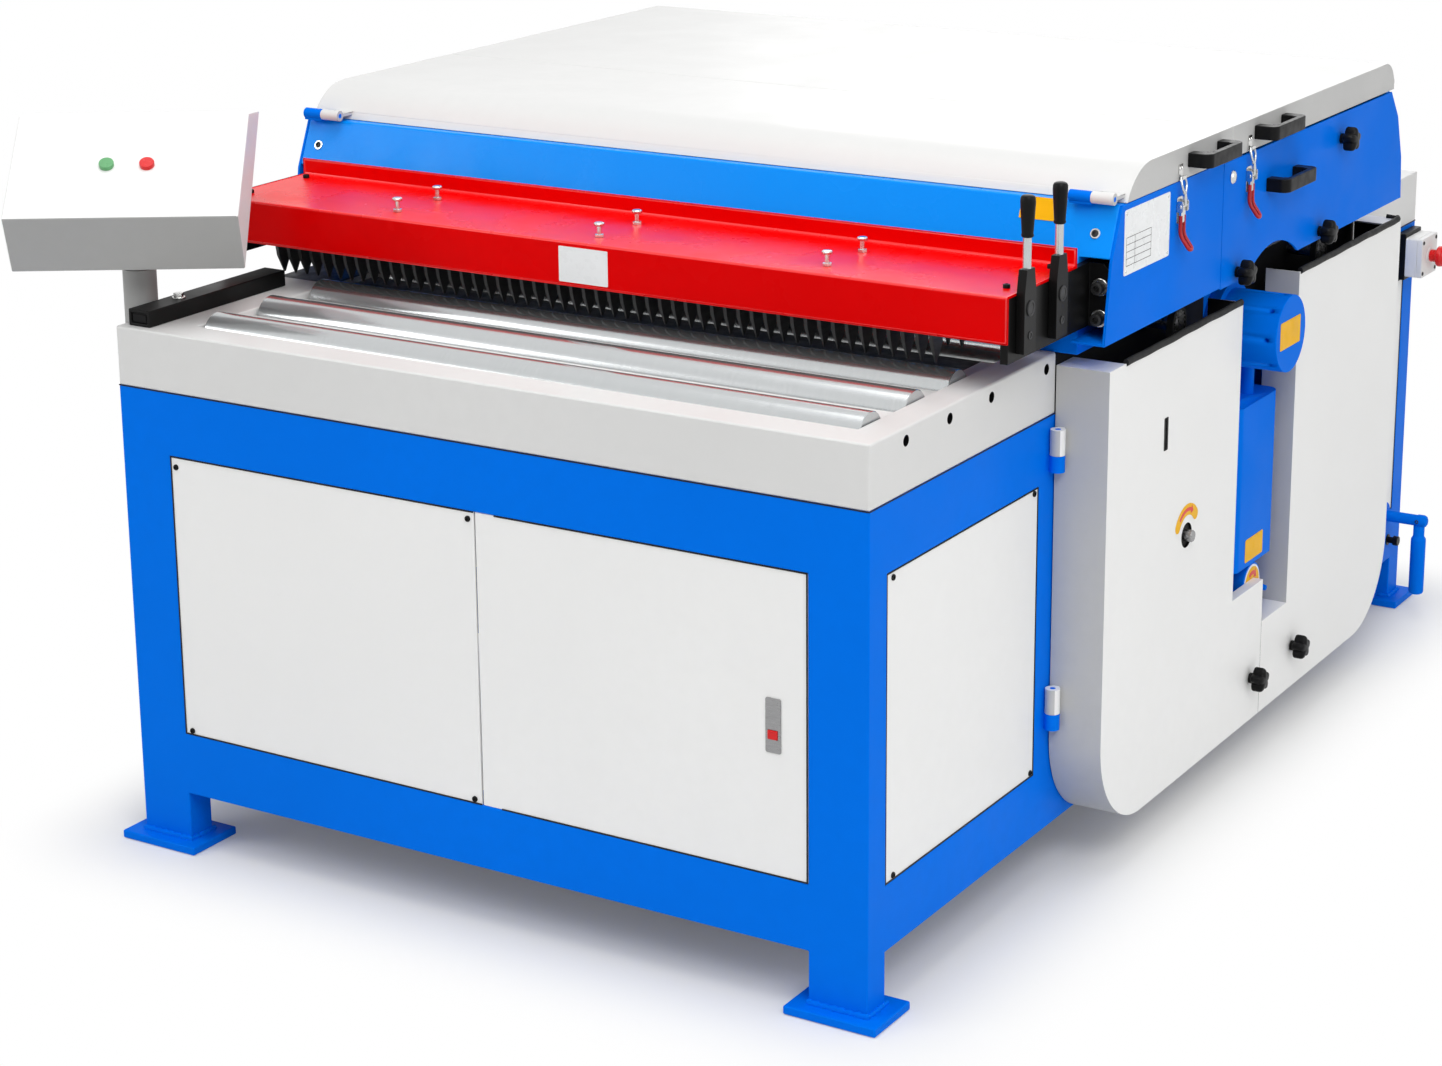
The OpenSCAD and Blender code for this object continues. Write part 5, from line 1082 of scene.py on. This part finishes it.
LATCH_HOOK = [(1600.2, 1212.5), (1606.6, 1212.5), (1609, 1216), (1609, 1221), (1607.8, 1221),
              (1607.4, 1216.4), (1606, 1214.4), (1601.8, 1214.4), (1601.8, 1240), (1600.2, 1240)]
LATCH_PIN, LATCH_RIVET = [(0, 2), (0.6, 3.4), (25.4, 3.4), (26, 2)], [(0, 3), (1, 2.8), (1.8, 1.6), (2, 0)]
LATCH_EAR = round_rect(1600.4, 1158, 1613, 1178, 4)
for end, y, carrier in (("front", 906, "frame"), ("rear", 1213, "side_door")):
    node = "latch_" + end
    seat = BODY[node]
    path = [(1606.5, y - 7, 1152), (1606.5, y - 7, 1118), (1624, y - 6.5, 1094), (1624, y + 6.5, 1094),
            (1606.5, y + 7, 1118), (1606.5, y + 7, 1152)]
    made(node + "_grip", [(sweep, rounded(path, 9, 5), 3.4, 12)], DIP_RED, seat, "red_paint", (node,))
    made(node + "_lever", [(prism, round_rect(y - 8.6, 1140, y + 8.6, 1175, 5), (1603.4, 0, 0), Y, Z, 5.4),
                           (lathe, (1607.3, y - 13, 1168), Y, LATCH_PIN, 20)],
         BRIGHT, seat, "chrome_steel", bevel=0.8)
    base = [(prism, round_rect(y - 11, 1138, y + 11, 1184, 4), (1600.2, 0, 0), Y, Z, 1.4)]
    base += [(prism, LATCH_EAR, (0, side + 1.4, 0), X, Z, 1.4) for side in (y - 12.2, y + 10.8)]
    made(node + "_base", base, BRIGHT, carrier, "chrome_steel", bevel=0.4)
    loop = [(1610.5, y, 1187), (1608.5, y + 10.5, 1204), (1605, y + 8, 1218.5), (1605, y - 8, 1218.5),
            (1608.5, y - 10.5, 1204)]
    stem = [(1610.6, y, 1190), (1611, y, 1182), (1610.5, y, 1170)]
    made(node + "_bail", [(sweep, rounded(loop, 7, closed=True), 2.3, 10, True),
                          (sweep, stem, [2.6, 3.4, 3.4], 14)], CHROME, carrier, "chrome_steel")
    keeper = [(prism, LATCH_HOOK, (0, y + 8, 0), X, Z, 16)]
    keeper += [(lathe, (1601.7, y + side, 1233), X, LATCH_RIVET, 16) for side in (-4.5, 4.5)]
    made(node + "_keeper", keeper, BRIGHT, BODY[end + "_lid"], "chrome_steel", bevel=0.3)

# Stage, light and camera, in scene metres

SPAN, FLOOR_Z = 30.0, -0.0008
# Half size of the full shadow round the machine's middle, and its fade to white
SHADOW_X, SHADOW_Y, SHADOW_FADE = 0.72, 1.18, 0.32
mesh = bpy.data.meshes.new("floor")
square = [(-SPAN, -SPAN, 0), (SPAN, -SPAN, 0), (SPAN, SPAN, 0), (-SPAN, SPAN, 0)]
mesh.from_pydata(square, [], [(0, 1, 2, 3)])
floor = link("floor", mesh)
floor.location = (0, 0, FLOOR_Z)

floor_mat = bpy.data.materials.new("pale_floor")
tree = Tree(floor_mat)
socket = tree.node("ShaderNodeTexCoord").outputs["Object"]
steps = [("SUBTRACT", P((FRAME_W / 2, FRAME_D / 2, 0))), ("ABSOLUTE", None),
         ("SUBTRACT", (SHADOW_X, SHADOW_Y, 0)), ("MAXIMUM", (0, 0, 0)), ("LENGTH", None)]
for op, value in steps:
    n = tree.node("ShaderNodeVectorMath", operation=op)
    tree.join(socket, n.inputs[0])
    if value is not None:
        n.inputs[1].default_value = value
    socket = n.outputs["Value" if op == "LENGTH" else "Vector"]
ends = {"From Min": 0.0, "From Max": SHADOW_FADE, "To Min": 0.10}
fade = tree.node("ShaderNodeMapRange", ends, interpolation_type="SMOOTHSTEP")
tree.join(socket, fade.inputs["Value"])
both = tree.node("ShaderNodeMath", operation="MULTIPLY")
tree.join(fade.outputs["Result"], both.inputs[0])
tree.join(tree.seen(), both.inputs[1])
matte = tree.node("ShaderNodeBsdfDiffuse", {"Color": (0.85, 0.85, 0.84, 1)})
white = tree.node("ShaderNodeEmission", {"Strength": 1.0})
tree.blend("ShaderNodeOutputMaterial", both.outputs[0], matte, white)
mesh.materials.append(floor_mat)

world = bpy.data.worlds.new("studio")
tree = Tree(world)
soft = tree.node("ShaderNodeBackground", {"Color": (1, 1, 1, 1), "Strength": 0.40})
clear = tree.node("ShaderNodeBackground", {"Color": (1, 1, 1, 1), "Strength": 1.0})
tree.blend("ShaderNodeOutputWorld", tree.seen(), soft, clear)
scene.world = world


def lamp(name, at, aim, size, watts):
    """A rectangular light turned to a point."""
    data = bpy.data.lights.new(name, "AREA")
    data.shape = "RECTANGLE"
    data.size, data.size_y = size
    data.energy = watts
    obj = link(name, data)
    obj.location = at
    obj.rotation_euler = (Vector(aim) - Vector(at)).to_track_quat("-Z", "Y").to_euler()


lamp("key", (3.6, -3.8, 4.6), (0.2, -0.2, 0.6), (3.0, 2.2), 122)
lamp("fill", (-4.0, -4.4, 3.0), (0, -0.3, 0.6), (2.0, 1.5), 50)
lamp("top", (0.3, -1.2, 6.2), (0, -0.2, 0.9), (4.0, 4.0), 165)
lamp("side", (6.0, 0.5, 2.5), (0.9, 0.2, 0.7), (3.0, 2.2), 45)
lamp("rear", (-1.5, 5.5, 3.6), (0, 0.2, 0.7), (3.5, 2.5), 60)

# Photograph's camera, fitted to the frame's straight edges; photo sizes and focal length in pixels
PHOTO_WIDE, PHOTO_MIDDLE, AXIS_ROW, FOCAL, SENSOR = 1442, 533, 400, 3111.4, 36
CAMERA_AT = (3661.8, -3927.8, 2257.6)
yaw, pitch, roll = (math.radians(a) for a in (-31.671, 15.342, -0.511))
forward = Vector((math.sin(yaw) * math.cos(pitch), math.cos(yaw) * math.cos(pitch), -math.sin(pitch)))
right = Vector((math.cos(yaw), -math.sin(yaw), 0))
up = right.cross(forward)
right, up = right * math.cos(roll) + up * math.sin(roll), up * math.cos(roll) - right * math.sin(roll)
data = bpy.data.cameras.new("camera")
data.sensor_fit = "HORIZONTAL"
data.sensor_width = SENSOR
data.lens = FOCAL / PHOTO_WIDE * SENSOR
data.shift_y = (AXIS_ROW - PHOTO_MIDDLE) / PHOTO_WIDE
data.clip_end = 200
camera = link("camera", data)
turn = Matrix((right, up, -forward)).transposed().to_4x4()
camera.matrix_world = Matrix.Translation(P(CAMERA_AT)) @ turn
scene.camera = camera
scene.view_settings.view_transform = "Standard"
